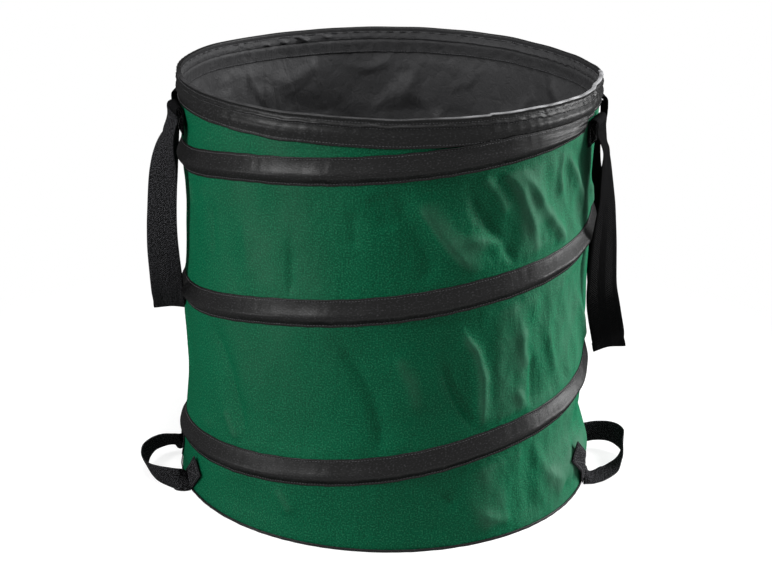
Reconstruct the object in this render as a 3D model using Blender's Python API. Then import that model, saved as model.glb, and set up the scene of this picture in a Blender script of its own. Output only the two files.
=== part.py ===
"""A pop-up garden waste bag of cloth on a steel spiral, standing open. Metres, +Z up.

The origin is the middle of the base, on the surface that the bag stands on. +X points to the
right-hand carry handle and the camera side is -Y. The spiral spring holds the bag up, and the
rim slides down along Z when the bag is pressed flat.
"""

import math

import bmesh
import bpy
from mathutils import Matrix, Vector

# The bag's body
HEIGHT = 0.468
BASE_R = 0.2350
WAIST_IN = 0.0088
RIM_IN = 0.0060
BASE_FLARE = 0.130
BASE_FLARE_BENDS = (0.2, 0.5)
RIM_FLARE = 0.070
CLOTH = 0.0007
LINING = 0.0005
BASE_CLOTH = 0.0010
SEGMENTS = 60
GAP = 0.0003

# The rim: a band outside, a facing inside, a wire between them and a binding over the edge
RIM_H = 0.030
RIM_TAPE = 0.0012
FACING = 0.0009
WALL_TUCK = 0.0075
RIM_WIRE_DROP = 0.018
BINDING_H = 0.0075
BINDING = 0.0009

# The spring steel wire of the spiral and of both rings
WIRE = 0.0030

# The spiral, counted in turns from the right-hand side, clockwise seen from above
SPIRAL_OVER_RIM_FOOT = 0.0117
SPIRAL_FOOT = 0.0230
SPIRAL_WIDENING = 0.0947
SPIRAL_LEAN = 0.0382
SPIRAL_LEAN_TURN = 0.418
SLEEVE_FIRST_STEP = 5
SLEEVE_LAST_STEP = 166
SLEEVE_H = 0.030
SLEEVE_CREST = 0.0068
SLEEVE_CREST_UP = 0.0115
SLEEVE_CREST_H = 0.0045
SLEEVE_TAPE = 0.0010

# The foot of the bag
PIPING_H = 0.0050
PIPING = 0.0012
PIPING_CHAMFER = 0.0007
CASING = 0.0008
CASING_REACH = 0.0125

# Carry handles: webbing, folded over outwards above each sewn end
CARRY_WIDTH = 0.038
WEBBING = 0.0016
CARRY_HALF_ANGLE = 12.5
CARRY_BELOW_RIM = 0.006
CARRY_SEWN = 0.0255
CARRY_FOLD_R = 0.0065
CARRY_FOLD_TAIL = 0.003
CARRY_HINGE_OUT = 0.0103
CARRY_BIGHT_DEPTH = 0.045
CARRY_BIGHT_OUT = 0.0273
CARRY_SPLAY_OVER = 0.33
CARRY_SWING_OVER = 0.50
CARRY_TWIST_FROM = 0.20
CARRY_TWIST_OVER = 0.50
LEFT_CARRY_ANGLE = 184.0
LEFT_CARRY_DROP = 0.246
LEFT_BIGHT_HALF = 0.048
RIGHT_CARRY_ANGLE = -8.5
RIGHT_CARRY_DROP = 0.280
RIGHT_BIGHT_HALF = 0.036

# Grab loops at the foot, for tipping the bag out
GRAB_WIDTH = 0.025
GRAB_HALF_ANGLE = 12.0
GRAB_REACH = 0.0465
GRAB_LOW_Z = 0.0080
GRAB_RISE = 0.0125
GRAB_TAB_TOP = 0.038
GRAB_TAB_FOOT = 0.006
GRAB_TURN_OVER = 0.3125
LEFT_GRAB_ANGLE = 193.0
RIGHT_GRAB_ANGLE = -5.0

# Steps along the straps
LEG_STEPS = 9
BIGHT_STEPS = 8
FOLD_STEPS = 6
LOOP_STEPS = 22

WAIST_R = BASE_R - WAIST_IN
RIM_R = BASE_R - RIM_IN
RIM_LOW = HEIGHT - RIM_H
WALL_TOP = RIM_LOW + WALL_TUCK
WALL_FOOT = BASE_CLOTH + GAP
STEP_ANGLE = 360 / SEGMENTS
SPIRAL_TURNS = SLEEVE_LAST_STEP / SEGMENTS
SPIRAL_TOP = RIM_LOW + SPIRAL_OVER_RIM_FOOT
CARRY_FOLD_Z = RIM_LOW - CARRY_BELOW_RIM


def polar(angle, radius, height):
    """A point at an angle in degrees round the bag, counter-clockwise from +X."""
    turn = math.radians(angle)
    return Vector((radius * math.cos(turn), radius * math.sin(turn), height))


def outward(angle):
    return polar(angle, 1, 0)


def sideways(angle):
    return polar(angle + 90, 1, 0)


def smooth(share):
    share = min(max(share, 0), 1)
    return share * share * (3 - 2 * share)


def flared_radius(height):
    foot = max(0, 1 - height / BASE_FLARE) ** 1.5
    top = min(max(0, 1 - (RIM_LOW - height) / RIM_FLARE), 1) ** 2
    return WAIST_R + (BASE_R - WAIST_R) * foot + (RIM_R - WAIST_R) * top


WALL_LEVELS = [
    0,
    *(share * BASE_FLARE for share in BASE_FLARE_BENDS),
    BASE_FLARE,
    RIM_LOW - RIM_FLARE,
    RIM_LOW,
    HEIGHT,
]


def wall_radius(height):
    """The wall's outer radius, straight between the levels where its cloth bends."""
    for low, high in zip(WALL_LEVELS, WALL_LEVELS[1:]):
        if height <= high:
            share = (height - low) / (high - low)
            return flared_radius(low) * (1 - share) + flared_radius(high) * share
    return RIM_R


def spiral_course(turns):
    """How far the spiral has come down, in first turns: the turns widen and lean to one side."""
    lean = SPIRAL_LEAN * turns * math.sin(2 * math.pi * (turns + SPIRAL_LEAN_TURN))
    return turns + SPIRAL_WIDENING * turns**2 - lean


def spiral_height(turns):
    """The middle of the sleeve after some turns."""
    share = spiral_course(turns) / spiral_course(SPIRAL_TURNS)
    return SPIRAL_TOP - (SPIRAL_TOP - SPIRAL_FOOT) * share


def material(name, colour, roughness, metallic=0.0):
    made = bpy.data.materials.new(name)
    made.use_nodes = True
    shader = made.node_tree.nodes["Principled BSDF"]
    shader.inputs["Base Color"].default_value = (*colour, 1)
    shader.inputs["Roughness"].default_value = roughness
    shader.inputs["Metallic"].default_value = metallic
    made.diffuse_color = (*colour, 1)
    return made


def link(name, mesh, finish, parent=None):
    made = bpy.data.objects.new(name, mesh)
    made.data.materials.append(finish)
    bpy.context.scene.collection.objects.link(made)
    if parent:
        made.parent = parent
        made.matrix_parent_inverse = parent.matrix_world.inverted()
    return made


def pivot(name, place, parent=None):
    """An empty on a joint's axis, which carries the pieces that move there."""
    made = bpy.data.objects.new(name, None)
    made.empty_display_size = 0.03
    made.matrix_world = Matrix.Translation(place)
    bpy.context.scene.collection.objects.link(made)
    if parent:
        made.parent = parent
        made.matrix_parent_inverse = parent.matrix_world.inverted()
    bpy.context.view_layer.update()
    return made


def finish_mesh(name, shape):
    bmesh.ops.recalc_face_normals(shape, faces=shape.faces)
    mesh = bpy.data.meshes.new(name)
    shape.to_mesh(mesh)
    shape.free()
    mesh.shade_smooth()
    mesh.set_sharp_from_angle(angle=math.radians(35))
    return mesh


def turned(name, outline, finish, parent=None):
    """A ring turned round Z from a closed outline of (radius, height) points."""
    shape = bmesh.new()
    corners = [shape.verts.new((radius, 0, height)) for radius, height in outline]
    edges = [shape.edges.new(pair) for pair in zip(corners, corners[1:] + corners[:1])]
    bmesh.ops.spin(
        shape,
        geom=corners + edges,
        cent=(0, 0, 0),
        axis=(0, 0, 1),
        angle=2 * math.pi,
        steps=SEGMENTS,
        use_merge=True,
    )
    return link(name, finish_mesh(name, shape), finish, parent)


def disc(name, radius, low, thickness, finish, parent=None):
    shape = bmesh.new()
    bmesh.ops.create_cone(
        shape,
        cap_ends=True,
        segments=SEGMENTS,
        radius1=radius,
        radius2=radius,
        depth=thickness,
        matrix=Matrix.Translation((0, 0, low + thickness / 2)),
    )
    return link(name, finish_mesh(name, shape), finish, parent)


def round_outline(radius, height, size, sides=6):
    return [
        (
            radius + size * math.cos(2 * math.pi * side / sides),
            height + size * math.sin(2 * math.pi * side / sides),
        )
        for side in range(sides)
    ]


def swept(name, rows, finish, parent=None):
    """One closed body through rows of corners that all have the same count."""
    shape = bmesh.new()
    rings = [[shape.verts.new(corner) for corner in row] for row in rows]
    for ring, following in zip(rings, rings[1:]):
        for k in range(len(ring)):
            after = (k + 1) % len(ring)
            shape.faces.new((ring[k], ring[after], following[after], following[k]))
    shape.faces.new(rings[0])
    shape.faces.new(rings[-1])
    bmesh.ops.triangulate(shape, faces=[face for face in shape.faces if len(face.verts) > 4])
    return link(name, finish_mesh(name, shape), finish, parent)


def strap(name, stations, width, finish, parent=None):
    """Webbing through (point, width direction) stations."""
    rows = []
    for k, (point, across) in enumerate(stations):
        before = stations[max(k - 1, 0)][0]
        after = stations[min(k + 1, len(stations) - 1)][0]
        along = (after - before).normalized()
        across = (across - along * across.dot(along)).normalized()
        face = across.cross(along)
        half, thick = across * width / 2, face * WEBBING / 2
        rows.append(
            [point + half + thick, point - half + thick, point - half - thick, point + half - thick]
        )
    return swept(name, rows, finish, parent)


def shell_outline(outside, thickness, foot, top):
    """A cloth tube's outline, a distance inside the wall's outer face."""
    heights = [foot] + [level for level in WALL_LEVELS if foot < level < top] + [top]
    outer = [(wall_radius(height) - outside, height) for height in heights]
    inner = [(wall_radius(height) - outside - thickness, height) for height in heights]
    return outer + inner[::-1]


def build_base(green, dark, steel):
    disc("base_panel", BASE_R, 0, BASE_CLOTH, green)
    turned("wall_panel", shell_outline(0, CLOTH, WALL_FOOT, WALL_TOP), green)
    inside = CLOTH + GAP
    turned("wall_lining", shell_outline(inside, LINING, WALL_FOOT, WALL_TOP), dark)
    clear = inside + LINING + GAP
    floor_r = wall_radius(WALL_FOOT + LINING) - clear
    disc("base_lining", floor_r, WALL_FOOT, LINING, dark)
    piping_r = BASE_R + GAP
    piping = [
        (piping_r, GAP),
        (piping_r + PIPING, GAP),
        (piping_r + PIPING, GAP + PIPING_H - PIPING_CHAMFER),
        (piping_r + PIPING - PIPING_CHAMFER, GAP + PIPING_H),
        (piping_r, GAP + PIPING_H),
    ]
    turned("base_piping", piping, dark)

    on_floor = WALL_FOOT + LINING + GAP
    hoop_z = on_floor + WIRE / 2
    hoop_r = wall_radius(on_floor + WIRE) - clear - WIRE / 2
    turned("base_hoop", round_outline(hoop_r, hoop_z, WIRE / 2), steel)
    casing_r = wall_radius(on_floor + CASING_REACH) - clear
    casing = [
        (casing_r, on_floor + CASING_REACH),
        (casing_r - CASING, on_floor + CASING_REACH),
        (floor_r - CASING_REACH - CASING, on_floor),
        (floor_r - CASING_REACH, on_floor),
    ]
    turned("base_casing", casing, dark)


def sleeve_heights(step):
    """Foot, crest and head of the sleeve, which narrows where it runs in under the rim."""
    middle = spiral_height(step / SEGMENTS)
    foot = middle - SLEEVE_H / 2
    head = min(middle + SLEEVE_H / 2, RIM_LOW - GAP)
    crest = foot + SLEEVE_CREST_UP * (head - foot) / SLEEVE_H
    return foot, crest, head


def sleeve_row(step):
    """The sleeve's section: cloth tape laid like a tent over the wire."""
    foot, crest, head = sleeve_heights(step)
    over, under = crest + SLEEVE_CREST_H / 2, crest - SLEEVE_CREST_H / 2
    outer = [
        (head, GAP + SLEEVE_TAPE),
        (over, SLEEVE_CREST),
        (under, SLEEVE_CREST),
        (foot, GAP + SLEEVE_TAPE),
    ]
    inner = [
        (foot, GAP),
        (under, SLEEVE_CREST - SLEEVE_TAPE),
        (over, SLEEVE_CREST - SLEEVE_TAPE),
        (head, GAP),
    ]
    angle = -STEP_ANGLE * step
    return [polar(angle, wall_radius(height) + out, height) for height, out in outer + inner]


def build_spiral(black, steel):
    steps = range(SLEEVE_FIRST_STEP, SLEEVE_LAST_STEP + 1)
    swept("spiral_sleeve", [sleeve_row(step) for step in steps], black)

    curve = bpy.data.curves.new("spiral_spring", "CURVE")
    curve.dimensions = "3D"
    curve.bevel_depth = WIRE / 2
    curve.bevel_resolution = 1
    curve.use_fill_caps = True
    line = curve.splines.new("POLY")
    line.points.add(len(steps) - 1)
    wire_out = SLEEVE_CREST - SLEEVE_TAPE - GAP - WIRE / 2
    for spot, step in zip(line.points, steps):
        height = sleeve_heights(step)[1]
        spot.co = (*polar(-STEP_ANGLE * step, wall_radius(height) + wire_out, height), 1)
    link("spiral_spring", curve, steel)


def build_rim(black, dark, steel, slide):
    """The parts that ride on the rim: band, facing, wire ring and edge binding."""
    wire_r = RIM_R - CLOTH
    wire_z = HEIGHT - RIM_WIRE_DROP
    reach = WIRE / 2 + GAP
    slope = WIRE
    edge = HEIGHT - BINDING - GAP
    band_top = wire_r + GAP / 2
    band = [
        (RIM_R + GAP, RIM_LOW),
        (wire_r + reach, wire_z - slope),
        (wire_r + reach, wire_z + slope),
        (band_top, wire_z + 2 * slope),
        (band_top, edge),
        (band_top + RIM_TAPE, edge),
        (band_top + RIM_TAPE, wire_z + 2 * slope),
        (wire_r + reach + RIM_TAPE, wire_z + slope),
        (wire_r + reach + RIM_TAPE, wire_z - slope),
        (RIM_R + GAP + RIM_TAPE, RIM_LOW),
    ]
    turned("rim_band", band, black, slide)
    low_r = RIM_R - CLOTH - LINING - 2 * GAP
    facing_top = wire_r - GAP / 2
    facing = [
        (low_r, RIM_LOW),
        (wire_r - reach, wire_z - slope),
        (wire_r - reach, wire_z + slope),
        (facing_top, wire_z + 2 * slope),
        (facing_top, edge),
        (facing_top - FACING, edge),
        (facing_top - FACING, wire_z + 2 * slope),
        (wire_r - reach - FACING, wire_z + slope),
        (wire_r - reach - FACING, wire_z - slope),
        (low_r - FACING, RIM_LOW),
    ]
    turned("rim_facing", facing, dark, slide)
    turned("rim_hoop", round_outline(wire_r, wire_z, WIRE / 2), steel, slide)
    outside = band_top + RIM_TAPE + GAP
    inside = facing_top - FACING - GAP
    foot = HEIGHT - BINDING_H
    binding = [
        (outside, foot),
        (outside + BINDING, foot),
        (outside + BINDING, HEIGHT),
        (inside - BINDING, HEIGHT),
        (inside - BINDING, foot),
        (inside, foot),
        (inside, HEIGHT - BINDING),
        (outside, HEIGHT - BINDING),
    ]
    turned("rim_binding", binding, black, slide)


def carry_radius():
    """The middle of the webbing where it is sewn on, below the rim band."""
    return wall_radius(CARRY_FOLD_Z) + GAP + WEBBING / 2


def carry_end(name, angle, finish, slide):
    """A sewn end: up the wall, then folded over outwards."""
    radius = carry_radius()
    across = sideways(angle)
    rows = [
        (polar(angle, radius, CARRY_FOLD_Z - CARRY_SEWN), across),
        (polar(angle, radius, CARRY_FOLD_Z), across),
    ]
    for step in range(1, FOLD_STEPS + 1):
        turn = math.pi * step / FOLD_STEPS
        out = CARRY_FOLD_R * (1 - math.cos(turn))
        up = CARRY_FOLD_R * math.sin(turn)
        rows.append((polar(angle, radius + out, CARRY_FOLD_Z + up), across))
    tail = CARRY_FOLD_Z - CARRY_FOLD_TAIL
    rows.append((polar(angle, radius + 2 * CARRY_FOLD_R, tail), across))
    strap(name, rows, CARRY_WIDTH, finish, slide)


def carry_loop(name, centre, drop, bight_half, finish, parent):
    """The hanging loop: two legs that turn edge on to the bag, and the bight between them."""
    out, side = outward(centre), sideways(centre)
    radius = carry_radius() + 2 * CARRY_FOLD_R
    bight_r = WAIST_R + CARRY_BIGHT_OUT
    half_angle = math.radians(CARRY_HALF_ANGLE)
    top = CARRY_FOLD_Z - CARRY_FOLD_TAIL - GAP
    straight = drop - CARRY_BIGHT_DEPTH

    def place(away, along, height):
        return out * away + side * along + Vector((0, 0, height))

    leg = []
    for step in range(LEG_STEPS + 1):
        share = step / LEG_STEPS
        ease = smooth((step - 1) / (LEG_STEPS - 1))
        swing = smooth((step - 1) / (LEG_STEPS - 1) / CARRY_SWING_OVER)
        away = radius * math.cos(half_angle) * (1 - swing) + bight_r * swing
        along = radius * math.sin(half_angle) * (1 - ease) + bight_half * ease
        twist = smooth((share - CARRY_TWIST_FROM) / CARRY_TWIST_OVER) * math.pi / 2
        splay = 1 - smooth(share / CARRY_SPLAY_OVER)
        end_side = sideways(centre + CARRY_HALF_ANGLE * splay)
        across = -end_side * math.cos(twist) + out * math.sin(twist)
        leg.append((place(away, along, top - straight * share), across))
    bight = []
    for step in range(1, BIGHT_STEPS):
        turn = math.pi * step / BIGHT_STEPS
        low = top - straight - CARRY_BIGHT_DEPTH * math.sin(turn)
        bight.append((place(bight_r, bight_half * math.cos(turn), low), out))
    other = []
    for point, across in reversed(leg):
        flat = point.dot(side)
        turned_across = across - 2 * side * across.dot(side)
        other.append((point - 2 * side * flat, turned_across))
    return strap(name, leg + bight + other, CARRY_WIDTH, finish, parent)


def build_carry(side_name, centre, drop, bight_half, finish, slide):
    carry_end(f"{side_name}_carry_front_end", front_angle(centre, CARRY_HALF_ANGLE), finish, slide)
    carry_end(f"{side_name}_carry_rear_end", rear_angle(centre, CARRY_HALF_ANGLE), finish, slide)
    axis_out = (carry_radius() + CARRY_HINGE_OUT) * math.cos(math.radians(CARRY_HALF_ANGLE))
    hinge = pivot(f"{side_name}_carry_pivot", polar(centre, axis_out, CARRY_FOLD_Z), slide)
    carry_loop(f"{side_name}_carry_handle", centre, drop, bight_half, finish, hinge)


def front_angle(centre, half):
    """The end on the camera's side: clockwise on the right of the bag, or the other way round."""
    return centre - half if math.cos(math.radians(centre)) > 0 else centre + half


def rear_angle(centre, half):
    return 2 * centre - front_angle(centre, half)


def grab_end(name, angle, finish):
    """A sewn tab, flat on the wall near the base."""
    heights = [GRAB_TAB_FOOT, GRAB_TAB_TOP]
    heights[1:1] = [level for level in WALL_LEVELS if GRAB_TAB_FOOT < level < GRAB_TAB_TOP]
    rows = [
        (polar(angle, wall_radius(height) + PIPING + 2 * GAP + WEBBING / 2, height), sideways(angle))
        for height in heights
    ]
    strap(name, rows, GRAB_WIDTH, finish)


def grab_radius():
    """Where the loop leaves its tabs."""
    return wall_radius(GRAB_TAB_FOOT) + PIPING + 2 * GAP + WEBBING + GAP + WEBBING / 2


def grab_loop(name, centre, finish, parent):
    rows = []
    for step in range(LOOP_STEPS + 1):
        share = step / LOOP_STEPS
        turn = math.pi * share
        angle = centre - GRAB_HALF_ANGLE * math.cos(turn)
        upright = smooth(min(share, 1 - share) / GRAB_TURN_OVER)
        height = GRAB_LOW_Z + GRAB_RISE * upright
        point = polar(angle, grab_radius() + GRAB_REACH * math.sin(turn), height)
        rows.append((point, upright))
    stations = []
    for k, (point, upright) in enumerate(rows):
        before = rows[max(k - 1, 0)][0]
        after = rows[min(k + 1, LOOP_STEPS)][0]
        along = (after - before).normalized()
        flat = Vector((0, 0, 1)).cross(along).normalized()
        rise = upright * math.pi / 2
        lean = math.cos(rise) if k <= LOOP_STEPS / 2 else -math.cos(rise)
        stations.append((point, flat * lean + Vector((0, 0, math.sin(rise)))))
    return strap(name, stations, GRAB_WIDTH, finish, parent)


def build_grab(side_name, centre, finish):
    grab_end(f"{side_name}_grab_front_end", front_angle(centre, GRAB_HALF_ANGLE), finish)
    grab_end(f"{side_name}_grab_rear_end", rear_angle(centre, GRAB_HALF_ANGLE), finish)
    axis_out = grab_radius() * math.cos(math.radians(GRAB_HALF_ANGLE))
    axis_z = GRAB_LOW_Z + WEBBING / 2
    hinge = pivot(f"{side_name}_grab_pivot", polar(centre, axis_out, axis_z))
    grab_loop(f"{side_name}_grab_loop", centre, finish, hinge)


def main():
    for old in list(bpy.data.objects):
        bpy.data.objects.remove(old, do_unlink=True)
    green = material("green_polyester", (0.010, 0.105, 0.050), 0.75)
    dark = material("dark_coated_cloth", (0.040, 0.040, 0.042), 0.55)
    black = material("black_cloth_tape", (0.022, 0.022, 0.023), 0.60)
    webbing = material("black_webbing", (0.012, 0.012, 0.013), 0.80)
    steel = material("spring_steel", (0.45, 0.45, 0.46), 0.35, 1.0)
    build_base(green, dark, steel)
    build_spiral(black, steel)
    slide = pivot("rim_slide", (0, 0, RIM_LOW))
    build_rim(black, dark, steel, slide)
    build_carry("left", LEFT_CARRY_ANGLE, LEFT_CARRY_DROP, LEFT_BIGHT_HALF, webbing, slide)
    build_carry("right", RIGHT_CARRY_ANGLE, RIGHT_CARRY_DROP, RIGHT_BIGHT_HALF, webbing, slide)
    build_grab("left", LEFT_GRAB_ANGLE, webbing)
    build_grab("right", RIGHT_GRAB_ANGLE, webbing)


main()
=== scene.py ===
"""A pop-up garden waste bag: green cloth on a spiral spring in a black sleeve, with a black rim,
two carry handles and two grab loops. Each piece is dressed over the bodies of the frame."""

import math

import bpy
import numpy as np
from mathutils import Matrix, Vector


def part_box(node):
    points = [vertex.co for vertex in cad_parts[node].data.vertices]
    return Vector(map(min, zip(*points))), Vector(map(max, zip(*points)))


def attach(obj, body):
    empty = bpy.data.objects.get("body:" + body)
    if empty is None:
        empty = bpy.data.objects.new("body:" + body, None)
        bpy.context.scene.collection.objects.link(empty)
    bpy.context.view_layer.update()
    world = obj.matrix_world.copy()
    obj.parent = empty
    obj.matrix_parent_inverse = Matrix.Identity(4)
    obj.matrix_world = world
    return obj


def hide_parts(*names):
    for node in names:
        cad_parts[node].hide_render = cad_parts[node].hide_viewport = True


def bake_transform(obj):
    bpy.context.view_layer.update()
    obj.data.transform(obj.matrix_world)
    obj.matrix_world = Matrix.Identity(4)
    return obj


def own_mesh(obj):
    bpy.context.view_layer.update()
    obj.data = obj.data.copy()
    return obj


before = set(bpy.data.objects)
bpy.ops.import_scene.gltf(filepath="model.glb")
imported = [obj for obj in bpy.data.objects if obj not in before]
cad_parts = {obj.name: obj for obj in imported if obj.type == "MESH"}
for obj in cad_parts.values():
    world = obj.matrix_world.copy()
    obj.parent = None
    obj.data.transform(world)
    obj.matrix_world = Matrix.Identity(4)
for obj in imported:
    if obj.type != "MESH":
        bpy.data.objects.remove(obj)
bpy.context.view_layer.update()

bl_info = {
    "name": "Garden Waste Bag",
    "version": (1, 0, 0),
    "blender": (4, 5, 0),
    "location": "3D View > Sidebar > Garden Bag",
    "description": "Builds a pop-up garden waste bag piece by piece",
    "category": "Add Mesh",
}

# Sizes that the cloths and the spring share, in metres, and the course of the spiral
GAP = 0.0003
STITCH_RADIUS = 0.00027
WIRE = 0.0030
BASE_FLARE = 0.130
RIM_FLARE = 0.070
WALL_TUCK = 0.0075
WALL_FOOT = 0.0013
SPIRAL_OVER_RIM_FOOT = 0.0117
SPIRAL_FOOT = 0.0230
SPIRAL_WIDENING = 0.0947
SPIRAL_LEAN = 0.0382
SPIRAL_LEAN_TURN = 0.418
SPIRAL_TURNS = 166 / 60
# Where the spiral hangs lower than its even course: turns, reach in turns, and drop in metres
SPIRAL_SAGS = (
    (0.45, 0.10, 0.0075),
    (1.45, 0.13, 0.0090),
    (1.07, 0.12, 0.0045),
    (2.03, 0.16, 0.0140),
    (2.24, 0.22, 0.0050),
)
LINING_INSIDE = 0.0015

# Carry handles, in metres, and how worn the webbing is from 0 to 1; on the handles the value also paints a
# highlight, so the lit left handle's weave is painted paler and the shaded right one stays dark
CARRY_BELOW_RIM = 0.006
CARRY_SEWN = 0.0255
CARRY_FOLD_TAIL = 0.003
CARRY_STEPS = 280
CARRY_WEAR_AND_SHEEN = {"left": 0.8, "right": 0.0}
FOLD_WORN = 0.1
# The sewn square: its foot and its head below the fold, and half its width
CARRY_SQUARE = (0.0235, 0.003, 0.0155)
# The two ends of each handle: where they are sewn, in degrees, the radius of their fold in metres,
# and how far they twist as they fold, in degrees
LEFT_CARRY_ENDS = ((194.5, 0.0046, 8.0), (175.0, 0.0044, 0.0))
RIGHT_CARRY_ENDS = ((-20.0, 0.0046, 0.0), (6.0, 0.0050, 0.0))

# Grab loops, in metres and degrees, and how worn they are from 0 to 1
GRAB_STEPS = 170
GRAB_WORN = 0.9
GRAB_HALF_ANGLE = 12.0
# The sewn square on a tab: its foot, its head below the tab's, and half its width
TAB_SQUARE = (0.0130, 0.003, 0.0095)
GRAB_TAB_FOOT = 0.006
LEANING_TAB_FOOT = 0.0098
LEFT_GRAB_ANGLE = 193.0
RIGHT_GRAB_ANGLE = -5.0
# Two distances out from the bag's middle at a loop's middle angle; the points made from them are not used
GRAB_HINGE = (0.2365, 0.2565)

# Threads of the cloths, in metres from one to the next
WEAVE_PITCH = 0.0011
TAPE_RIB = 0.0012
WEBBING_RIB = 0.0026
WEBBING_YARN = 0.0016
WEBBING_CHEVRON = 0.0095

# The camera, in metres, millimetres and degrees
CAMERA_PLACE = (0, -1.865, 0.885)
CAMERA_LENS = 81.14
CAMERA_PITCH = 70.09
CAMERA_ROLL = 1.02
# The lamps: azimuth and elevation in degrees, width and height in metres, and power in watts
LAMPS = {
    "soft_box_left": (-58, 30, (0.25, 0.4), 19),
    "soft_box_left_low": (-69, -4, (0.8, 0.16), 7),
    "soft_box_right": (102, 28, (0.4, 0.7), 42),
    "soft_box_right_low": (103, -2, (1.0, 0.16), 37),
    "soft_box_top": (0, 76, (0.9, 0.9), 23),
}
LAMP_DISTANCE = 1.9
LAMP_MIDDLE = Vector((0, 0, 0.25))


def length_of(name, description, default):
    return bpy.props.FloatProperty(name=name, description=description, default=default, unit="LENGTH")


def colour_of(name, description, default):
    return bpy.props.FloatVectorProperty(
        name=name, description=description, subtype="COLOR", default=default
    )


class GardenBagSizes(bpy.types.PropertyGroup):
    """Lengths that a maker would change."""

    height: length_of("Height", "Ground to the top of the rim", 0.468)
    base_radius: length_of("Base radius", "Outer radius at the foot", 0.235)
    waist_radius: length_of("Waist radius", "Outer radius of the wall", 0.2262)
    rim_radius: length_of("Rim radius", "Wall radius at the rim", 0.2290)
    rim_height: length_of("Rim height", "Height of the rim band", 0.030)
    sleeve_height: length_of("Sleeve height", "Width of the spiral tape", 0.030)
    carry_width: length_of("Handle width", "Webbing of the carry handles", 0.038)
    grab_width: length_of("Loop width", "Webbing of the grab loops", 0.025)
    webbing: length_of("Webbing thickness", "Thickness of all webbing", 0.0016)
    stitch: length_of("Stitch length", "Visible length of a stitch", 0.0022)
    stitch_pitch: length_of("Stitch pitch", "From one stitch to the next", 0.0033)
    fold_share: bpy.props.FloatProperty(
        name="Folds", description="Depth of the wall's folds, 1 as made", default=1.0, min=0, max=2
    )


class GardenBagColours(bpy.types.PropertyGroup):
    """Colours of the cloths, the thread and the wire."""

    green: colour_of("Green cloth", "Wall and base", (0.0010, 0.094, 0.041))
    lining: colour_of("Lining", "Dark coated inside", (0.042, 0.042, 0.0435))
    tape: colour_of("Tape", "Sleeve and rim band", (0.0050, 0.0050, 0.0053))
    webbing: colour_of("Webbing", "Handles and loops", (0.0050, 0.0050, 0.0054))
    thread: colour_of("Thread", "All stitching", (0.085, 0.085, 0.09))
    steel: colour_of("Steel", "Spring wire", (0.45, 0.45, 0.46))


def sizes():
    return bpy.context.scene.garden_bag_sizes


def colours():
    return bpy.context.scene.garden_bag_colours


def smoothstep(low, high, value):
    share = np.clip((np.asarray(value, float) - low) / (high - low), 0, 1)
    return share * share * (3 - 2 * share)


def bump(centre, reach, value):
    """1 at the centre, 0 past the reach on either side."""
    return 1 - smoothstep(0, reach, np.abs(value - centre))


def turn_from(angle, centre):
    """An angle in degrees as seen from another one, from -180 to 180."""
    return (np.asarray(angle, float) - centre + 180) % 360 - 180


def polar(angle, radius, height):
    """Points at an angle in degrees round the bag, counter-clockwise from +X."""
    turn = np.radians(angle)
    spots = np.broadcast_arrays(radius * np.cos(turn), radius * np.sin(turn), height)
    return np.stack(spots, axis=-1)


def outward(angle):
    return polar(angle, 1.0, 0.0)


def sideways(angle):
    return polar(np.asarray(angle) + 90, 1.0, 0.0)


def rim_low():
    return sizes().height - sizes().rim_height


def wall_top():
    return rim_low() + WALL_TUCK


def wall_radius(height):
    """The outer face of the wall: flared at the foot, slightly at the rim."""
    made = sizes()
    foot = np.clip(1 - np.asarray(height, float) / BASE_FLARE, 0, None) ** 1.5
    top = np.clip(1 - (rim_low() - height) / RIM_FLARE, 0, 1) ** 2
    return (
        made.waist_radius
        + (made.base_radius - made.waist_radius) * foot
        + (made.rim_radius - made.waist_radius) * top
    )


def spiral_course(turns):
    lean = SPIRAL_LEAN * turns * np.sin(2 * math.pi * (turns + SPIRAL_LEAN_TURN))
    return turns + SPIRAL_WIDENING * turns**2 - lean


def spiral_height(turns):
    """The middle of the sleeve after some turns, clockwise from +X."""
    top = rim_low() + SPIRAL_OVER_RIM_FOOT
    share = spiral_course(turns) / spiral_course(SPIRAL_TURNS)
    sag = sum(drop * bump(middle, reach, turns) for middle, reach, drop in SPIRAL_SAGS)
    return top - (top - SPIRAL_FOOT) * share - sag


def sleeve_distance(angle, height):
    """How far a spot is from the middle of the nearest turn of the sleeve."""
    first = (-np.asarray(angle, float) / 360) % 1
    nearest = np.full(np.broadcast(first, height).shape, 1.0)
    for extra in range(3):
        turns = first + extra
        away = np.abs(height - spiral_height(np.minimum(turns, SPIRAL_TURNS)))
        away = np.where(turns <= SPIRAL_TURNS, away, 1.0)
        nearest = np.minimum(nearest, away)
    return nearest


def waves(seed, count, angle, height, around, up, sharp=False):
    """Random waves that close round the bag, about 1 high: waves a turn, and radians a metre up."""
    draw = np.random.default_rng(seed)
    total = np.zeros(np.broadcast(angle, height).shape)
    for _ in range(count):
        turns = int(draw.integers(around[0], around[1] + 1))
        rise = draw.uniform(-up, up)
        phase = draw.uniform(0, 2 * math.pi)
        wave = np.sin(turns * np.radians(angle) + rise * height + phase)
        total = total + (1 - 2 * np.abs(wave) if sharp else wave)
    return total / math.sqrt(count)


def ring_waves(seed, count, angle, around, sharp=False):
    """Random waves along a ring, the same all the way across it."""
    return waves(seed, count, angle, 0 * angle, around, 0, sharp)


# How much higher the folds stand than their table says, and how round their ridges are, in metres
FOLD_SHARE = 2.1
FOLD_ROUNDING = 0.0016
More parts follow.
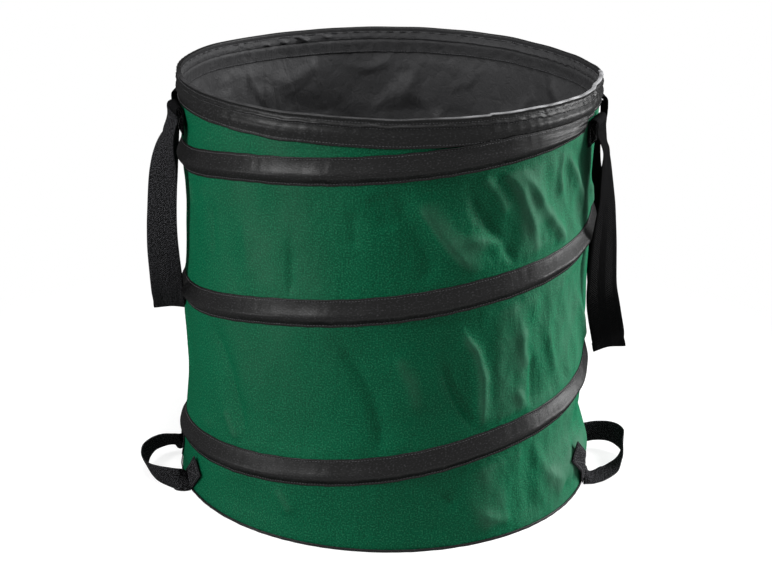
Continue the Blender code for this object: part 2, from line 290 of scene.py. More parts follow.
# Folds of the wall: path as (degrees round the bag, millimetres up), then the half-widths on the
# left and on the right of the path and the height of the ridge, in millimetres; a valley is negative
WALL_FOLDS = (
    (((276.8, 388), (279.5, 370), (282.4, 353), (285.6, 336), (289.0, 322), (293.5, 306)), 5, 16, 3.0),
    (((289.6, 341), (293.8, 339), (298.8, 335), (303.5, 324)), 9, 5, 2.0),
    (((290.7, 392), (294.1, 366), (299.2, 340), (302.6, 324), (306.0, 303)), 6, 6, -2.6),
    (((299.0, 412), (303.2, 397), (306.2, 382), (309.9, 350), (312.5, 322)), 5, 7, 2.8),
    (((304.4, 408), (310.0, 387), (315.1, 359), (321.7, 332), (327.4, 304)), 6, 7, 2.6),
    (((321.9, 418), (321.7, 392), (323.2, 362)), 4, 5, 1.8),
    (((324.4, 407), (330.6, 381), (337.2, 345)), 5, 7, 2.2),
    (((293.0, 412), (298.5, 387), (302.4, 358)), 5, 5, 1.8),
    (((272.6, 391), (274.2, 370), (277.8, 346), (281.1, 320), (281.0, 292)), 8, 8, -1.4),
    (((285.0, 214), (287.6, 183), (292.3, 152), (298.1, 124)), 5, 7, -2.6),
    (((288.5, 250), (294.3, 219), (296.6, 189), (296.8, 156), (296.5, 122)), 6, 5, 2.6),
    (((308.2, 236), (309.2, 208), (311.8, 184)), 5, 5, 1.8),
    (((313.4, 200), (314.0, 169), (314.5, 136)), 4, 5, -1.8),
    (((319.5, 224), (322.0, 192), (324.7, 160)), 6, 6, 2.0),
    (((306.4, 170), (311.0, 144), (313.2, 128)), 5, 5, 1.6),
    (((215.0, 214), (222.6, 171), (229.7, 100)), 9, 9, -2.2),
    (((220.4, 128), (227.1, 92)), 8, 8, 1.6),
    (((257.0, 236), (263.0, 203), (267.1, 171), (269.2, 141), (269.7, 104)), 7, 9, -2.4),
    (((272.5, 226), (277.0, 190), (279.0, 150)), 12, 12, 1.5),
    (((244.2, 330), (244.7, 268)), 3, 5, -1.6),
    (((261.7, 372), (261.7, 330)), 9, 9, -1.3),
    (((267.0, 392), (270.5, 350)), 16, 16, -1.4),
    (((216.3, 352), (216.3, 290)), 5, 6, -1.3),
    (((229.0, 340), (232.0, 280)), 9, 9, 1.2),
    (((296.5, 34), (306.2, 14)), 4, 5, 1.2),
    (((286.0, 62), (289.6, 46)), 4, 4, -1.4),
    (((316.0, 84), (321.0, 52), (330.0, 30)), 7, 7, 1.2),
    (((240.0, 60), (246.0, 30)), 7, 7, 1.2),
    (((20.0, 395), (33.0, 350), (41.0, 318)), 6, 8, 2.6),
    (((48.0, 380), (60.0, 330)), 7, 7, -2.2),
    (((75.0, 372), (82.0, 340), (84.0, 310)), 6, 8, 2.0),
    (((108.0, 345), (121.0, 300)), 6, 8, 2.6),
    (((128.0, 372), (140.0, 330), (146.0, 290)), 7, 7, -2.2),
    (((158.0, 340), (163.0, 290), (164.0, 262)), 6, 6, 1.8),
    (((12.0, 240), (22.0, 205), (27.0, 170)), 6, 7, -2.0),
    (((38.0, 225), (52.0, 170)), 6, 8, 2.4),
    (((66.0, 210), (80.0, 160), (86.0, 120)), 7, 7, -2.2),
    (((98.0, 200), (112.0, 150)), 6, 8, 2.4),
    (((126.0, 215), (134.0, 160)), 6, 6, 1.6),
    (((150.0, 205), (160.0, 150), (166.0, 104)), 7, 8, -2.2),
    (((186.0, 215), (193.0, 160), (196.0, 120)), 7, 7, 1.8),
    (((178.0, 380), (185.0, 340), (190.0, 296)), 7, 7, -1.8),
    (((200.0, 380), (204.0, 330)), 6, 6, 1.5),
    (((345.0, 360), (350.0, 322)), 5, 6, 1.8),
    (((338.0, 240), (345.0, 200), (352.0, 165)), 6, 7, 2.0),
)


def fold_height(angle, height, path, left, right, rise):
    """A crease along a path over the wall, sharp at its line and fading at both ends."""
    made = sizes()
    start = path[0][0]
    along = np.radians(turn_from(angle, start)) * made.waist_radius
    spots = [(math.radians(turn_from(turn, start)) * made.waist_radius, up / 1000) for turn, up in path]
    away = np.full(along.shape, 9.0)
    side = np.zeros(along.shape)
    share = np.zeros(along.shape)
    for k, ((x0, z0), (x1, z1)) in enumerate(zip(spots, spots[1:])):
        dx, dz = x1 - x0, z1 - z0
        reach = dx * dx + dz * dz
        part = np.clip(((along - x0) * dx + (height - z0) * dz) / reach, 0, 1)
        gap = np.hypot(along - x0 - part * dx, height - z0 - part * dz)
        across = (along - x0) * dz - (height - z0) * dx
        nearer = gap < away
        away = np.where(nearer, gap, away)
        side = np.where(nearer, across, side)
        share = np.where(nearer, (k + part) / (len(spots) - 1), share)
    width = np.where(side < 0, right, left) / 1000
    blunt = np.sqrt(away**2 + FOLD_ROUNDING**2) - FOLD_ROUNDING
    fade = smoothstep(0, 0.22, share) * smoothstep(0, 0.22, 1 - share)
    return FOLD_SHARE * rise / 1000 * np.exp(-((blunt / width) ** 1.3)) * (0.25 + 0.75 * fade)


def wall_relief(angle, height):
    """How far the cloth stands out of its even shape: folds, soft waves, and puckers at the seams."""
    made = sizes()
    gap = sleeve_distance(angle, height)
    clear = smoothstep(made.sleeve_height / 2, made.sleeve_height / 2 + 0.016, gap)
    clear = clear * smoothstep(0.002, 0.022, rim_low() - height) * smoothstep(0.004, 0.026, height)
    folds = sum(fold_height(angle, height, *fold) for fold in WALL_FOLDS)
    right = 0.12 + 0.88 * bump(322, 50, turn_from(angle, 0) % 360)
    broad = 0.0010 * waves(11, 5, angle, height, (5, 14), 26)
    slant = 0.0008 * waves(12, 7, angle, height, (14, 34), 75, sharp=True) * right
    fine = 0.00006 * waves(13, 7, angle, height, (70, 120), 160)
    near = np.minimum(gap - made.sleeve_height / 2, np.minimum(rim_low() - height, height))
    gathered = np.exp(-np.clip(near, 0, None) / 0.009)
    turning = 303 + 24 * (np.asarray(height) - 0.1)
    ridge = 0.0046 * bump(0, 14, turn_from(angle, turning))
    pucker = 0.00040 * gathered * ring_waves(14, 7, angle, (50, 120)) * (0.4 + right)
    sag = -0.0012 * smoothstep(0.015, 0.055, gap)
    relief = (folds * made.fold_share + broad + slant + ridge + sag) * clear
    return relief + (fine + pucker) * smoothstep(0.0, 0.008, near) + foot_bulge(angle, height)


def foot_bulge(angle, height):
    """The cloth stands out above the ground on the bag's right, with a hollow over it."""
    turn = turn_from(angle, 0)
    out = 0.0085 * bump(-14, 40, turn) * bump(0.043, 0.040, height)
    return out - 0.0022 * bump(-10, 36, turn) * bump(0.086, 0.026, height)


def skin_radius(angle, height):
    return wall_radius(height) + wall_relief(angle, height)


def add_values(piece, name, values):
    """A number for each point of the mesh, for the material to read."""
    attribute = piece.data.attributes.new(name, "FLOAT", "POINT")
    attribute.data.foreach_set("value", np.asarray(values, np.float32).ravel())


def ring_angles(steps):
    return np.arange(steps) * 360 / steps


def flat_places(along, across):
    return np.stack(np.meshgrid(along, across, indexing="ij"), axis=-1)


def lengths(line):
    steps = np.linalg.norm(np.diff(line, axis=0), axis=1)
    return np.concatenate([[0], np.cumsum(steps)])


def points_at(spots, far, line):
    """The points of a line at some distances along it."""
    return np.stack([np.interp(spots, far, line[:, k]) for k in range(line.shape[1])], axis=1)


def unit(vectors):
    return vectors / np.linalg.norm(vectors, axis=1)[:, None]


def square_to(along, vectors):
    """Directions turned square to a line's course."""
    return unit(vectors - along * np.sum(vectors * along, axis=1)[:, None])


def course(line):
    return unit(np.gradient(line, axis=0))


def deselect():
    for item in list(bpy.context.selected_objects):
        item.select_set(False)


def wire_ring(name, body, node):
    """A ring of spring wire in the place of its node."""
    low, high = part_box(node)
    deselect()
    bpy.ops.mesh.primitive_torus_add(
        major_radius=float(high[0]) - WIRE / 2,
        minor_radius=WIRE / 2,
        major_segments=180,
        minor_segments=12,
        location=(0, 0, float(low[2] + high[2]) / 2),
    )
    bpy.ops.object.transform_apply(location=True, rotation=True, scale=True)
    ring = bpy.context.object
    ring.name = name
    ring.data.name = name
    ring.data.materials.append(spring_steel())
    ring.data.shade_smooth()
    body_piece(ring, body, "spring_steel", node)


def body_piece(piece, body, slot, *nodes):
    """Gives a finished piece its body and hides the nodes it stands for; its slot is not used."""
    if nodes:
        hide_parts(*nodes)
    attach(piece, body)
    return piece


def pack_down(piece):
    """Gives a piece its own copy of its mesh."""
    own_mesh(piece)


def new_piece(name, points, faces, finish):
    """A smooth mesh in the scene from its points and faces."""
    mesh = bpy.data.meshes.new(name)
    mesh.from_pydata(points.reshape(-1, 3).tolist(), [], faces)
    mesh.update()
    mesh.shade_smooth()
    mesh.materials.append(finish)
    made = bpy.data.objects.new(name, mesh)
    bpy.context.scene.collection.objects.link(made)
    return made


def cell_corners(grid):
    """The four corners of each cell of a grid."""
    return grid[:-1, :-1], grid[:-1, 1:], grid[1:, 1:], grid[1:, :-1]


def grid_mesh(name, spots, flat, finish, ring=False, caps=False, inward=False):
    """A skin over a grid of points whose columns close, and in a ring its rows too; flat gives
    their places on the flat cloth in metres, for the UV map."""
    columns = spots.shape[1]
    index = np.arange(spots.shape[0] * columns).reshape(-1, columns)
    if ring:
        index = np.concatenate([index, index[:1]], axis=0)
    index = np.concatenate([index, index[:, :1]], axis=1)
    quads = np.stack(cell_corners(index), axis=-1).reshape(-1, 4)
    corners = np.stack(cell_corners(flat), axis=2).reshape(-1, 4, 2)
    ends = [index[0, -2::-1].tolist(), index[-1, :-1].tolist()] if caps else []
    if inward:
        quads, corners = quads[:, ::-1], corners[:, ::-1]
        ends = [end[::-1] for end in ends]
    uvs = np.concatenate([corners.reshape(-1, 2), np.tile(flat[0, 0], (len(ends) * columns, 1))])
    piece = new_piece(name, spots, quads.tolist() + ends, finish)
    layer = piece.data.uv_layers.new(name="cloth")
    layer.data.foreach_set("uv", uvs.astype(np.float32).ravel())
    return piece


def ring_tape(name, angle, rows, profile, radius, closing, finish, inward=True):
    """A closed ring of tape from its rows of points; closing is what its profile lacks to close."""
    across = lengths(np.array(profile))
    across = np.append(across, across[-1] + closing)
    flat = flat_places(np.radians(np.append(angle, 360)) * radius, across)
    return grid_mesh(name, np.stack(rows, axis=1), flat, finish, ring=True, inward=inward)


class Value:
    """A number in a material; arithmetic on it adds the Math nodes."""

    def __init__(self, nodes, socket):
        self.nodes = nodes
        self.socket = socket

    def math(self, operation, *others, swapped=False, clamp=False):
        terms = [self, *others]
        if swapped:
            terms.reverse()
        settings = {"operation": operation, "use_clamp": clamp}
        return Value(self.nodes, self.nodes.node("ShaderNodeMath", settings, *terms).outputs[0])

    def __add__(self, other):
        return self.math("ADD", other)

    def __radd__(self, other):
        return self.math("ADD", other, swapped=True)

    def __sub__(self, other):
        return self.math("SUBTRACT", other)

    def __rsub__(self, other):
        return self.math("SUBTRACT", other, swapped=True)

    def __mul__(self, other):
        return self.math("MULTIPLY", other)

    def __rmul__(self, other):
        return self.math("MULTIPLY", other, swapped=True)

    def clamped(self):
        return self.math("ADD", 0.0, clamp=True)

    def ribs(self, pitch):
        """Even ribs across a length, from -1 to 1."""
        return (self * (2 * math.pi / pitch)).math("SINE")


class Nodes:
    """The nodes of a material or of the world."""

    def __init__(self, tree):
        self.tree = tree

    def put(self, entry, given):
        if isinstance(given, Value):
            given = given.socket
        if isinstance(given, bpy.types.NodeSocket):
            self.tree.links.new(given, entry)
        else:
            entry.default_value = given

    def node(self, kind, settings=None, *sockets, **named):
        """A node with its settings, and its sockets' values or links by place or by name."""
        made = self.tree.nodes.new(kind)
        for key, setting in (settings or {}).items():
            setattr(made, key, setting)
        for entry, given in zip(made.inputs, sockets):
            self.put(entry, given)
        for key, given in named.items():
            self.put(made.inputs[key.replace("_", " ")], given)
        return made

    def either(self, share, first, second):
        """A Mix Shader from the first shader to the second."""
        sockets = (share, first.outputs[0], second.outputs[0])
        return self.node("ShaderNodeMixShader", None, *sockets)

    def rays_seen(self):
        """1 for rays from the camera, and for those that a gloss or clear surface sends on."""
        path = self.node("ShaderNodeLightPath").outputs
        seen = Value(self, path["Is Camera Ray"])
        for kind in ("Is Glossy Ray", "Is Transmission Ray"):
            seen = seen.math("MAXIMUM", path[kind])
        return seen


class Finish(Nodes):
    """A material under construction, with one Principled shader."""

    def __init__(self, name, roughness, metallic=0.0, specular=0.5):
        self.material = bpy.data.materials.new(name)
        self.material.use_nodes = True
        super().__init__(self.material.node_tree)
        self.shader = self.tree.nodes["Principled BSDF"]
        self.shader.inputs["Roughness"].default_value = roughness
        self.shader.inputs["Metallic"].default_value = metallic
        self.shader.inputs["Specular IOR Level"].default_value = specular

    def cloth_place(self):
        """The place on the flat cloth, in metres."""
        return self.node("ShaderNodeUVMap", {"uv_map": "cloth"}).outputs["UV"]

    def object_place(self):
        return self.node("ShaderNodeTexCoord").outputs["Object"]

    def wear_and_painted_sheen(self):
        """How much the cloth is worn, and how much painted sheen it carries, at each point of the mesh."""
        return Value(self, self.node("ShaderNodeAttribute", {"attribute_name": "wear_and_painted_sheen"}).outputs["Fac"])

    def parts(self, place):
        made = self.node("ShaderNodeSeparateXYZ", Vector=place)
        return Value(self, made.outputs["X"]), Value(self, made.outputs["Y"])

    def noise(self, place, scale, detail=2.0, rough=0.5, distortion=0.0):
        given = {"Vector": place, "Scale": scale, "Detail": detail, "Roughness": rough}
        return Value(self, self.node("ShaderNodeTexNoise", Distortion=distortion, **given).outputs["Fac"])

    def cells(self, place, scale):
        settings = {"feature": "DISTANCE_TO_EDGE"}
        made = self.node("ShaderNodeTexVoronoi", settings, Vector=place, Scale=scale)
        return Value(self, made.outputs["Distance"])

    def weave(self, place):
        """A plain weave's height, one thread over and one under."""
        along, across = self.parts(place)
        return along.ribs(WEAVE_PITCH) * across.ribs(WEAVE_PITCH)

    def stretched(self, place, along, across):
        """The place with its two directions scaled on their own."""
        return self.node("ShaderNodeMapping", Vector=place, Scale=(along, across, 1.0)).outputs["Vector"]

    def mix(self, factor, first, second):
        """Between two colours by a factor."""
        made = self.node("ShaderNodeMix", {"data_type": "RGBA"})
        self.put(made.inputs[0], factor)
        for entry, given in ((made.inputs[6], first), (made.inputs[7], second)):
            self.put(entry, (*given, 1.0) if isinstance(given, tuple) else given)
        return made.outputs[2]

    def raised(self, height, distance, strength=1.0, below=None):
        """A Bump node over an earlier one."""
        made = self.node("ShaderNodeBump", Strength=strength, Distance=distance, Height=height)
        if below is not None:
            self.put(made.inputs["Normal"], below)
        return made.outputs["Normal"]

    def glossed(self, share, roughness, normal):
        """Adds an even gloss that is no stronger at the object's edges."""
        gloss = self.node("ShaderNodeBsdfGlossy", Color=(1, 1, 1, 1), Roughness=roughness, Normal=normal)
        self.surface(self.either(share, self.shader, gloss))

    def surface(self, shader):
        self.put(self.tree.nodes["Material Output"].inputs["Surface"], shader.outputs[0])

    def done(self, colour, roughness, normal):
        for name, given in (("Base Color", colour), ("Roughness", roughness), ("Normal", normal)):
            self.put(self.shader.inputs[name], given)
        return self.material


def made_once(name):
    """A finish that is made when it is first asked for, and shared after that."""

    def keep(make):
        def finish():
            return bpy.data.materials.get(name) or make(name)

        return finish

    return keep


def shade(colour, factor):
    return tuple(float(part) * factor for part in colour)


@made_once("green_polyester_cloth")
def green_polyester(name):
    """Coated oxford cloth: fine grain, soft clouds, pale flecks that are painted glints, and paler where it
    is rubbed and where a painted sheen lies.
    """
    finish = Finish(name, roughness=0.5, specular=0.0)
    place = finish.cloth_place()
    green = colours().green
    grain = finish.noise(place, 600)
    clouds = finish.noise(place, 14, detail=4.0, rough=0.55)
    wear_and_painted_sheen = finish.wear_and_painted_sheen()
    tone = (grain - 0.5) * 3.4 + (clouds - 0.5) * 0.5 + 0.5
    base = finish.mix(tone.clamped(), shade(green, 0.62), shade(green, 1.30))
    # Pale flecks over the green: painted glints of the weave
    pale = tuple(part * 1.4 + 0.014 for part in green)
    glint_flecks = ((grain - 0.56) * 9.0).clamped()
    base = finish.mix(glint_flecks, base, pale)
    # Paler where the cloth is worn and where the painted sheen lies
    wear_and_sheen_share = (wear_and_painted_sheen * (0.45 + finish.noise(place, 60, detail=3.0))).clamped()
    colour = finish.mix(wear_and_sheen_share, base, tuple(part * 0.85 + 0.040 for part in green))
    roughness = 0.33 + 0.14 * grain + 0.06 * clouds
    normal = finish.raised(finish.weave(place), 0.00012, 0.5)
    normal = finish.raised(finish.noise(place, 420), 0.0006, 0.5, normal)
    creases = finish.noise(finish.stretched(place, 1.0, 0.55), 55, detail=4.0, rough=0.55, distortion=0.6)
    normal = finish.raised(creases, 0.0040, 0.45, normal)
    finish.glossed(0.0062, roughness, normal)
    return finish.done(colour, 0.6 + 0.1 * clouds, normal)


@made_once("dark_coated_cloth_lining")
def dark_coated_cloth(name):
    """The inside: a dark coating that crackles into sharp little creases."""
    finish = Finish(name, roughness=0.5, specular=0.12)
    place = finish.cloth_place()
    dark = colours().lining
    grain = finish.noise(place, 600)
    clouds = finish.noise(place, 22, detail=4.0, rough=0.6)
    tone = ((grain - 0.5) * 0.7 + (clouds - 0.5) * 0.7 + 0.5).clamped()
    colour = finish.mix(tone, shade(dark, 0.6), shade(dark, 1.45))
    crackle = finish.cells(finish.stretched(place, 1.0, 0.7), 42)
    fine = finish.noise(place, 110, detail=5.0, rough=0.6, distortion=1.2)
    normal = finish.raised(crackle.math("MINIMUM", 0.22), 0.006, 0.35)
    normal = finish.raised(fine, 0.0016, 0.6, normal)
    normal = finish.raised(finish.weave(place), 0.0001, 0.4, normal)
    return finish.done(colour, 0.40 + 0.25 * clouds, normal)


@made_once("black_cloth_tape_satin")
def black_cloth_tape(name):
    """Woven tape with a satin face: fine ribs across it, and pale specks in the weave that are painted
    glints.
    """
    finish = Finish(name, roughness=0.5, specular=0.0)
    place = finish.cloth_place()
    black = colours().tape
    ribs = finish.parts(place)[0].ribs(TAPE_RIB)
    grain = finish.noise(finish.stretched(place, 1.0, 1.5), 400, detail=1.0)
    clouds = finish.noise(place, 30, detail=3.0)
    # Pale specks in the weave: painted glints
    glint_specks = (grain - 0.58).clamped() * 6.0
    tone = ((grain - 0.5) * 2.6 + (clouds - 0.5) * 0.6 + ribs * 0.06 + 0.5).clamped()
    base = finish.mix(tone, shade(black, 0.1), shade(black, 0.6))
    colour = finish.mix(glint_specks.clamped(), base, shade(black, 6.0))
    # Pale grey by the wear-and-sheen values: on the binding's top edge a painted highlight with some wear
    colour = finish.mix(finish.wear_and_painted_sheen(), colour, (0.34, 0.34, 0.35))
    roughness = 0.30 + 0.10 * grain + 0.06 * clouds
    normal = finish.raised(ribs, 0.00003, 0.5)
    normal = finish.raised(grain, 0.0002, 0.5, normal)
    soft = finish.noise(finish.stretched(place, 1.0, 0.5), 90, detail=3.0)
    normal = finish.raised(soft, 0.0010, 0.5, normal)
    finish.glossed(0.0158, roughness, normal)
    return finish.done(colour, 0.6 + 0.1 * clouds, normal)


@made_once("black_webbing_herringbone")
def black_webbing(name):
    """Polypropylene webbing: a herringbone of coarse shiny yarns with a firm edge."""
    finish = Finish(name, roughness=0.5, specular=0.0)
    place = finish.cloth_place()
    black = colours().webbing
    along, across = finish.parts(place)
    chevron = (across * (1 / WEBBING_CHEVRON)).math("PINGPONG", 1.0) * WEBBING_CHEVRON
    ribs = (along + chevron).ribs(WEBBING_RIB)
    weave = ribs * 0.7 + ribs * across.ribs(WEBBING_YARN) * 0.3
    grain = finish.noise(place, 640)
    tone = (weave * 0.50 + (grain - 0.5) * 4.6 + 0.26).clamped()
    # Paler light yarns by the wear-and-sheen values: wear, and on the left carry handle a painted highlight
    # of its lit weave
    worn = finish.mix(finish.wear_and_painted_sheen(), shade(black, 0.8), shade(black, 13.0))
    colour = finish.mix(tone, shade(black, 0.4), worn)
    normal = finish.raised(weave, 0.00055, 0.8)
    normal = finish.raised(grain, 0.0004, 0.4, normal)
    finish.glossed(0.0022, 0.36 + 0.22 * grain, normal)
    return finish.done(colour, 0.6 + 0.1 * grain, normal)


@made_once("sewing_thread_twisted")
def sewing_thread(name):
    """Grey-black polyester thread with its twist."""
    finish = Finish(name, roughness=0.5, specular=0.20)
    place = finish.object_place()
    thread = colours().thread
    twist = finish.noise(place, 1500, detail=1.0)
    worn = finish.noise(place, 60)
    tone = ((twist - 0.5) * 1.2 + (worn - 0.5) * 0.8 + 0.5).clamped()
    colour = finish.mix(tone, shade(thread, 0.45), shade(thread, 1.5))
    return finish.done(colour, 0.42 + 0.2 * twist, finish.raised(twist, 0.0002, 0.6))


@made_once("spring_steel_wire")
def spring_steel(name):
    """Drawn wire: long fine scratches and a little tarnish."""
    finish = Finish(name, roughness=0.35, metallic=1.0)
    place = finish.object_place()
    steel = colours().steel
    tarnish = finish.noise(place, 45, detail=4.0, rough=0.6)
    scratch = finish.noise(place, 1400, detail=1.0)
    colour = finish.mix(tarnish, shade(steel, 0.7), shade(steel, 1.15))
    return finish.done(colour, 0.28 + 0.2 * tarnish, finish.raised(scratch, 0.0001, 0.4))


def soft_box(name, azimuth, elevation, size, power):
    """An area lamp that faces the bag; azimuth 0 is the camera's side, 90 the bag's right."""
    turn, tilt = math.radians(azimuth), math.radians(elevation)
    away = Vector((math.sin(turn) * math.cos(tilt), -math.cos(turn) * math.cos(tilt), math.sin(tilt)))
    lamp = bpy.data.lights.new(name, "AREA")
    lamp.shape = "RECTANGLE"
    lamp.size, lamp.size_y = size
    lamp.energy = power
    made = bpy.data.objects.new(name, lamp)
    made.location = LAMP_MIDDLE + away * LAMP_DISTANCE
    made.rotation_euler = away.to_track_quat("Z", "Y").to_euler()
    bpy.context.scene.collection.objects.link(made)


def pale_floor():
    """Plain pale paper; seen from the camera it is white and keeps the shadow near the bag."""
    finish = Finish("pale_floor", roughness=0.9, specular=0.0)
    finish.shader.inputs["Base Color"].default_value = (0.40, 0.40, 0.40, 1)
    shaded = finish.node("ShaderNodeBsdfDiffuse", Color=(0.35, 0.35, 0.35, 1))
    glow = finish.node("ShaderNodeEmission", Strength=0.80)
    near = finish.node("ShaderNodeAddShader", None, shaded.outputs[0], glow.outputs[0])
    white = finish.node("ShaderNodeEmission", Strength=1.0)
    far = finish.node("ShaderNodeVectorMath", {"operation": "LENGTH"}, finish.object_place())
    reach = {"Value": far.outputs["Value"], "From Min": 0.30, "From Max": 0.75}
    fade = finish.node("ShaderNodeMapRange", {"interpolation_type": "SMOOTHSTEP"}, **reach)
    ground = finish.either(fade.outputs["Result"], near, white)
    finish.surface(finish.either(finish.rays_seen(), finish.shader, ground))
    return finish.material


class BAG_OT_stage(bpy.types.Operator):
    """Sets the camera, the lamps, the world and a pale floor"""

    bl_idname = "garden_bag.stage"
    bl_label = "Stage"

    def execute(self, context):
        scene = context.scene
        scene.view_settings.view_transform = "Standard"
        lens = bpy.data.cameras.new("camera")
        lens.sensor_width = 36.0
        lens.lens = CAMERA_LENS
        lens.clip_end = 50.0
        camera = bpy.data.objects.new("camera", lens)
        pitch = Matrix.Rotation(math.radians(CAMERA_PITCH), 4, "X")
        roll = Matrix.Rotation(math.radians(CAMERA_ROLL), 4, "Z")
        camera.matrix_world = Matrix.Translation(CAMERA_PLACE) @ pitch @ roll
        scene.collection.objects.link(camera)
        scene.camera = camera
        for name, lamp in LAMPS.items():
            soft_box(name, *lamp)

        scene.world = bpy.data.worlds.new("studio")
        scene.world.use_nodes = True
        studio = Nodes(scene.world.node_tree)
        light = studio.tree.nodes["Background"]
        light.inputs["Color"].default_value = (1, 1, 1, 1)
        light.inputs["Strength"].default_value = 0.14
        seen = studio.node("ShaderNodeBackground", Color=(1, 1, 1, 1), Strength=1.0)
        both = studio.either(studio.rays_seen(), light, seen)
        studio.put(studio.tree.nodes["World Output"].inputs["Surface"], both.outputs[0])

        deselect()
        bpy.ops.mesh.primitive_plane_add(size=8)
        floor = context.object
        floor.name = "floor"
        floor.data.materials.append(pale_floor())
        return {"FINISHED"}


def stitch_shape():
    """One stitch along X, a slim spindle modelled and taken as points and faces."""
    made = sizes()
    slim = STITCH_RADIUS / (made.stitch / 2)
    deselect()
    bpy.ops.mesh.primitive_uv_sphere_add(segments=6, ring_count=6, radius=made.stitch / 2)
    bpy.ops.transform.resize(value=(slim, slim, 1))
    bpy.ops.object.transform_apply(location=False, rotation=False, scale=True)
    spindle = bpy.context.object
    shape = spindle.data
    points = np.array([corner.co[:] for corner in shape.vertices])
    faces = [list(face.vertices) for face in shape.polygons]
    bpy.data.objects.remove(spindle)
    bpy.data.meshes.remove(shape)
    return points[:, [2, 0, 1]], faces


def sew(name, rows, body, slot="black_cloth_tape"):
    """Rows of stitches, each a line of points with the way out of the cloth at each point."""
    made = sizes()
    shape, faces = stitch_shape()
    corners, skins = [], []
    for line, out in rows:
        far = lengths(line)
        count = int(far[-1] // made.stitch_pitch)
        start = (far[-1] - (count - 1) * made.stitch_pitch) / 2
        spots = start + np.arange(count) * made.stitch_pitch
        placed = points_at(spots, far, line)[:, None]
        along = unit(points_at(spots + 0.001, far, line) - points_at(spots - 0.001, far, line))
        up = square_to(along, points_at(spots, far, out))
        for k, way in enumerate((along, np.cross(up, along), up)):
            placed = placed + shape[None, :, k, None] * way[:, None]
        first = sum(len(block) for block in corners)
        corners.append(placed.reshape(-1, 3))
        for base in range(first, first + count * len(shape), len(shape)):
            skins += [[base + corner for corner in face] for face in faces]
    return body_piece(new_piece(name, np.concatenate(corners), skins, sewing_thread()), body, slot)


WALL_COLUMNS = 560
WALL_ROWS = 168
LINING_COLUMNS = 480
LINING_ROWS = 150
SEAM_ANGLE = 90.0


def wall_grid(columns, rows):
    angle = SEAM_ANGLE + ring_angles(columns)
    height = np.linspace(WALL_FOOT, wall_top(), rows)
    return np.meshgrid(angle, height, indexing="xy")


def tube_cloth(name, angle, height, radius, finish, inward=False):
    """A tube of cloth round the bag, over a grid of angles and heights."""
    rows, columns = angle.shape
    along = np.linspace(0, 2 * math.pi * sizes().waist_radius, columns + 1)
    flat = np.stack(np.meshgrid(along, np.linspace(0, wall_top(), rows), indexing="xy"), axis=-1)
    return grid_mesh(name, polar(angle, radius, height), flat, finish, inward=inward)


class BAG_OT_wall(bpy.types.Operator):
    """Makes the green wall, the dark lining inside it and the side seam"""

    bl_idname = "garden_bag.wall"
    bl_label = "Wall"

    def execute(self, context):
        made = sizes()
        angle, height = wall_grid(WALL_COLUMNS, WALL_ROWS)
        relief = wall_relief(angle, height)
        from_seam = np.abs(turn_from(angle, SEAM_ANGLE)) * math.pi / 180 * made.waist_radius
        felled = 0.0012 * (1 - smoothstep(0.0045, 0.0075, from_seam))
        radius = wall_radius(height) + relief + felled
        wall = tube_cloth("wall_cloth", angle, height, radius, green_polyester())
        turn = angle % 360
        # Painted sheen: the wall is painted paler on the right front and on the left front, where the lamps'
        # sheen lies; the raised folds are paler from wear
        painted_sheen = 0.36 * bump(332, 36, turn) + 0.20 * bump(238, 30, turn) * smoothstep(0.05, 0.3, height)
        painted_sheen = painted_sheen * (1 + 0.4 * waves(15, 5, angle, height, (6, 24), 60))
        add_values(wall, "wear_and_painted_sheen", np.clip(0.5 * smoothstep(0.0006, 0.0040, relief) + painted_sheen, 0, 1))
        pack_down(body_piece(wall, "base", "green_polyester", "wall_panel"))

        angle, height = wall_grid(LINING_COLUMNS, LINING_ROWS)
        free = smoothstep(0.0, 0.020, rim_low() - 0.001 - height) * smoothstep(0.012, 0.040, height)
        warp = 6 * waves(21, 4, angle, height, (6, 14), 30)
        crush = waves(22, 7, angle + warp, height, (14, 34), 95, sharp=True)
        small = waves(23, 8, angle + warp, height, (36, 80), 230, sharp=True)
        patches = 0.6 + 0.4 * waves(24, 3, angle, height, (3, 9), 24)
        facets = waves(25, 6, angle + warp, height, (4, 12), 42, sharp=True)
        inside = 0.0030 * facets + 0.0011 * np.clip(crush, -0.6, 2.2) * patches + 0.0003 * small * patches
        inside = np.clip(inside + 0.0020, 0, None) * free
        radius = skin_radius(angle, height) - LINING_INSIDE - inside
        lining = tube_cloth("lining_cloth", angle, height, radius, dark_coated_cloth(), inward=True)
        pack_down(body_piece(lining, "base", "dark_coated_cloth", "wall_lining"))

        up = np.linspace(0.012, rim_low() - 0.003, 120)
        rows = []
        for shift in (-0.0028, 0.0028):
            turn = SEAM_ANGLE + math.degrees(shift / made.waist_radius)
            out = skin_radius(np.full(up.shape, turn), up) + 0.0014
            rows.append((polar(turn, out, up), np.tile(outward(turn), (len(up), 1))))
        pack_down(sew("seam_stitches", rows, "base"))
        return {"FINISHED"}


BASE_RINGS = 40
BASE_COLUMNS = 160
# The base's lining ends this far inside the wall
LINING_CLEAR = 0.0021
CASING_STEPS = 240
CASING_WIDTH = 0.0133
PIPING_STEPS = 480
# The casing over the foot's wire ring, in metres out and up: from its outer top edge, from its inner
# foot, and from the outer top edge again
CASING_TOP = ((0, 0), (-0.0040, -0.0005), (-0.0085, -0.0040))
CASING_FOOT = ((0.0010, 0.0020), (0, 0.0003), (0.0008, 0), (0.0020, 0.0012))
CASING_UNDER = ((-0.0090, -0.0052), (-0.0044, -0.0014), (0, -0.0008))
# The piping round the foot: out from the base and up, in metres
PIPING_FACE = (
    (0, 0.0003), (0.0007, 0.0001), (0.0011, 0.0006), (0.0012, 0.0016), (0.0010, 0.0026),
    (0.0006, 0.0032), (0, 0.0031),
)


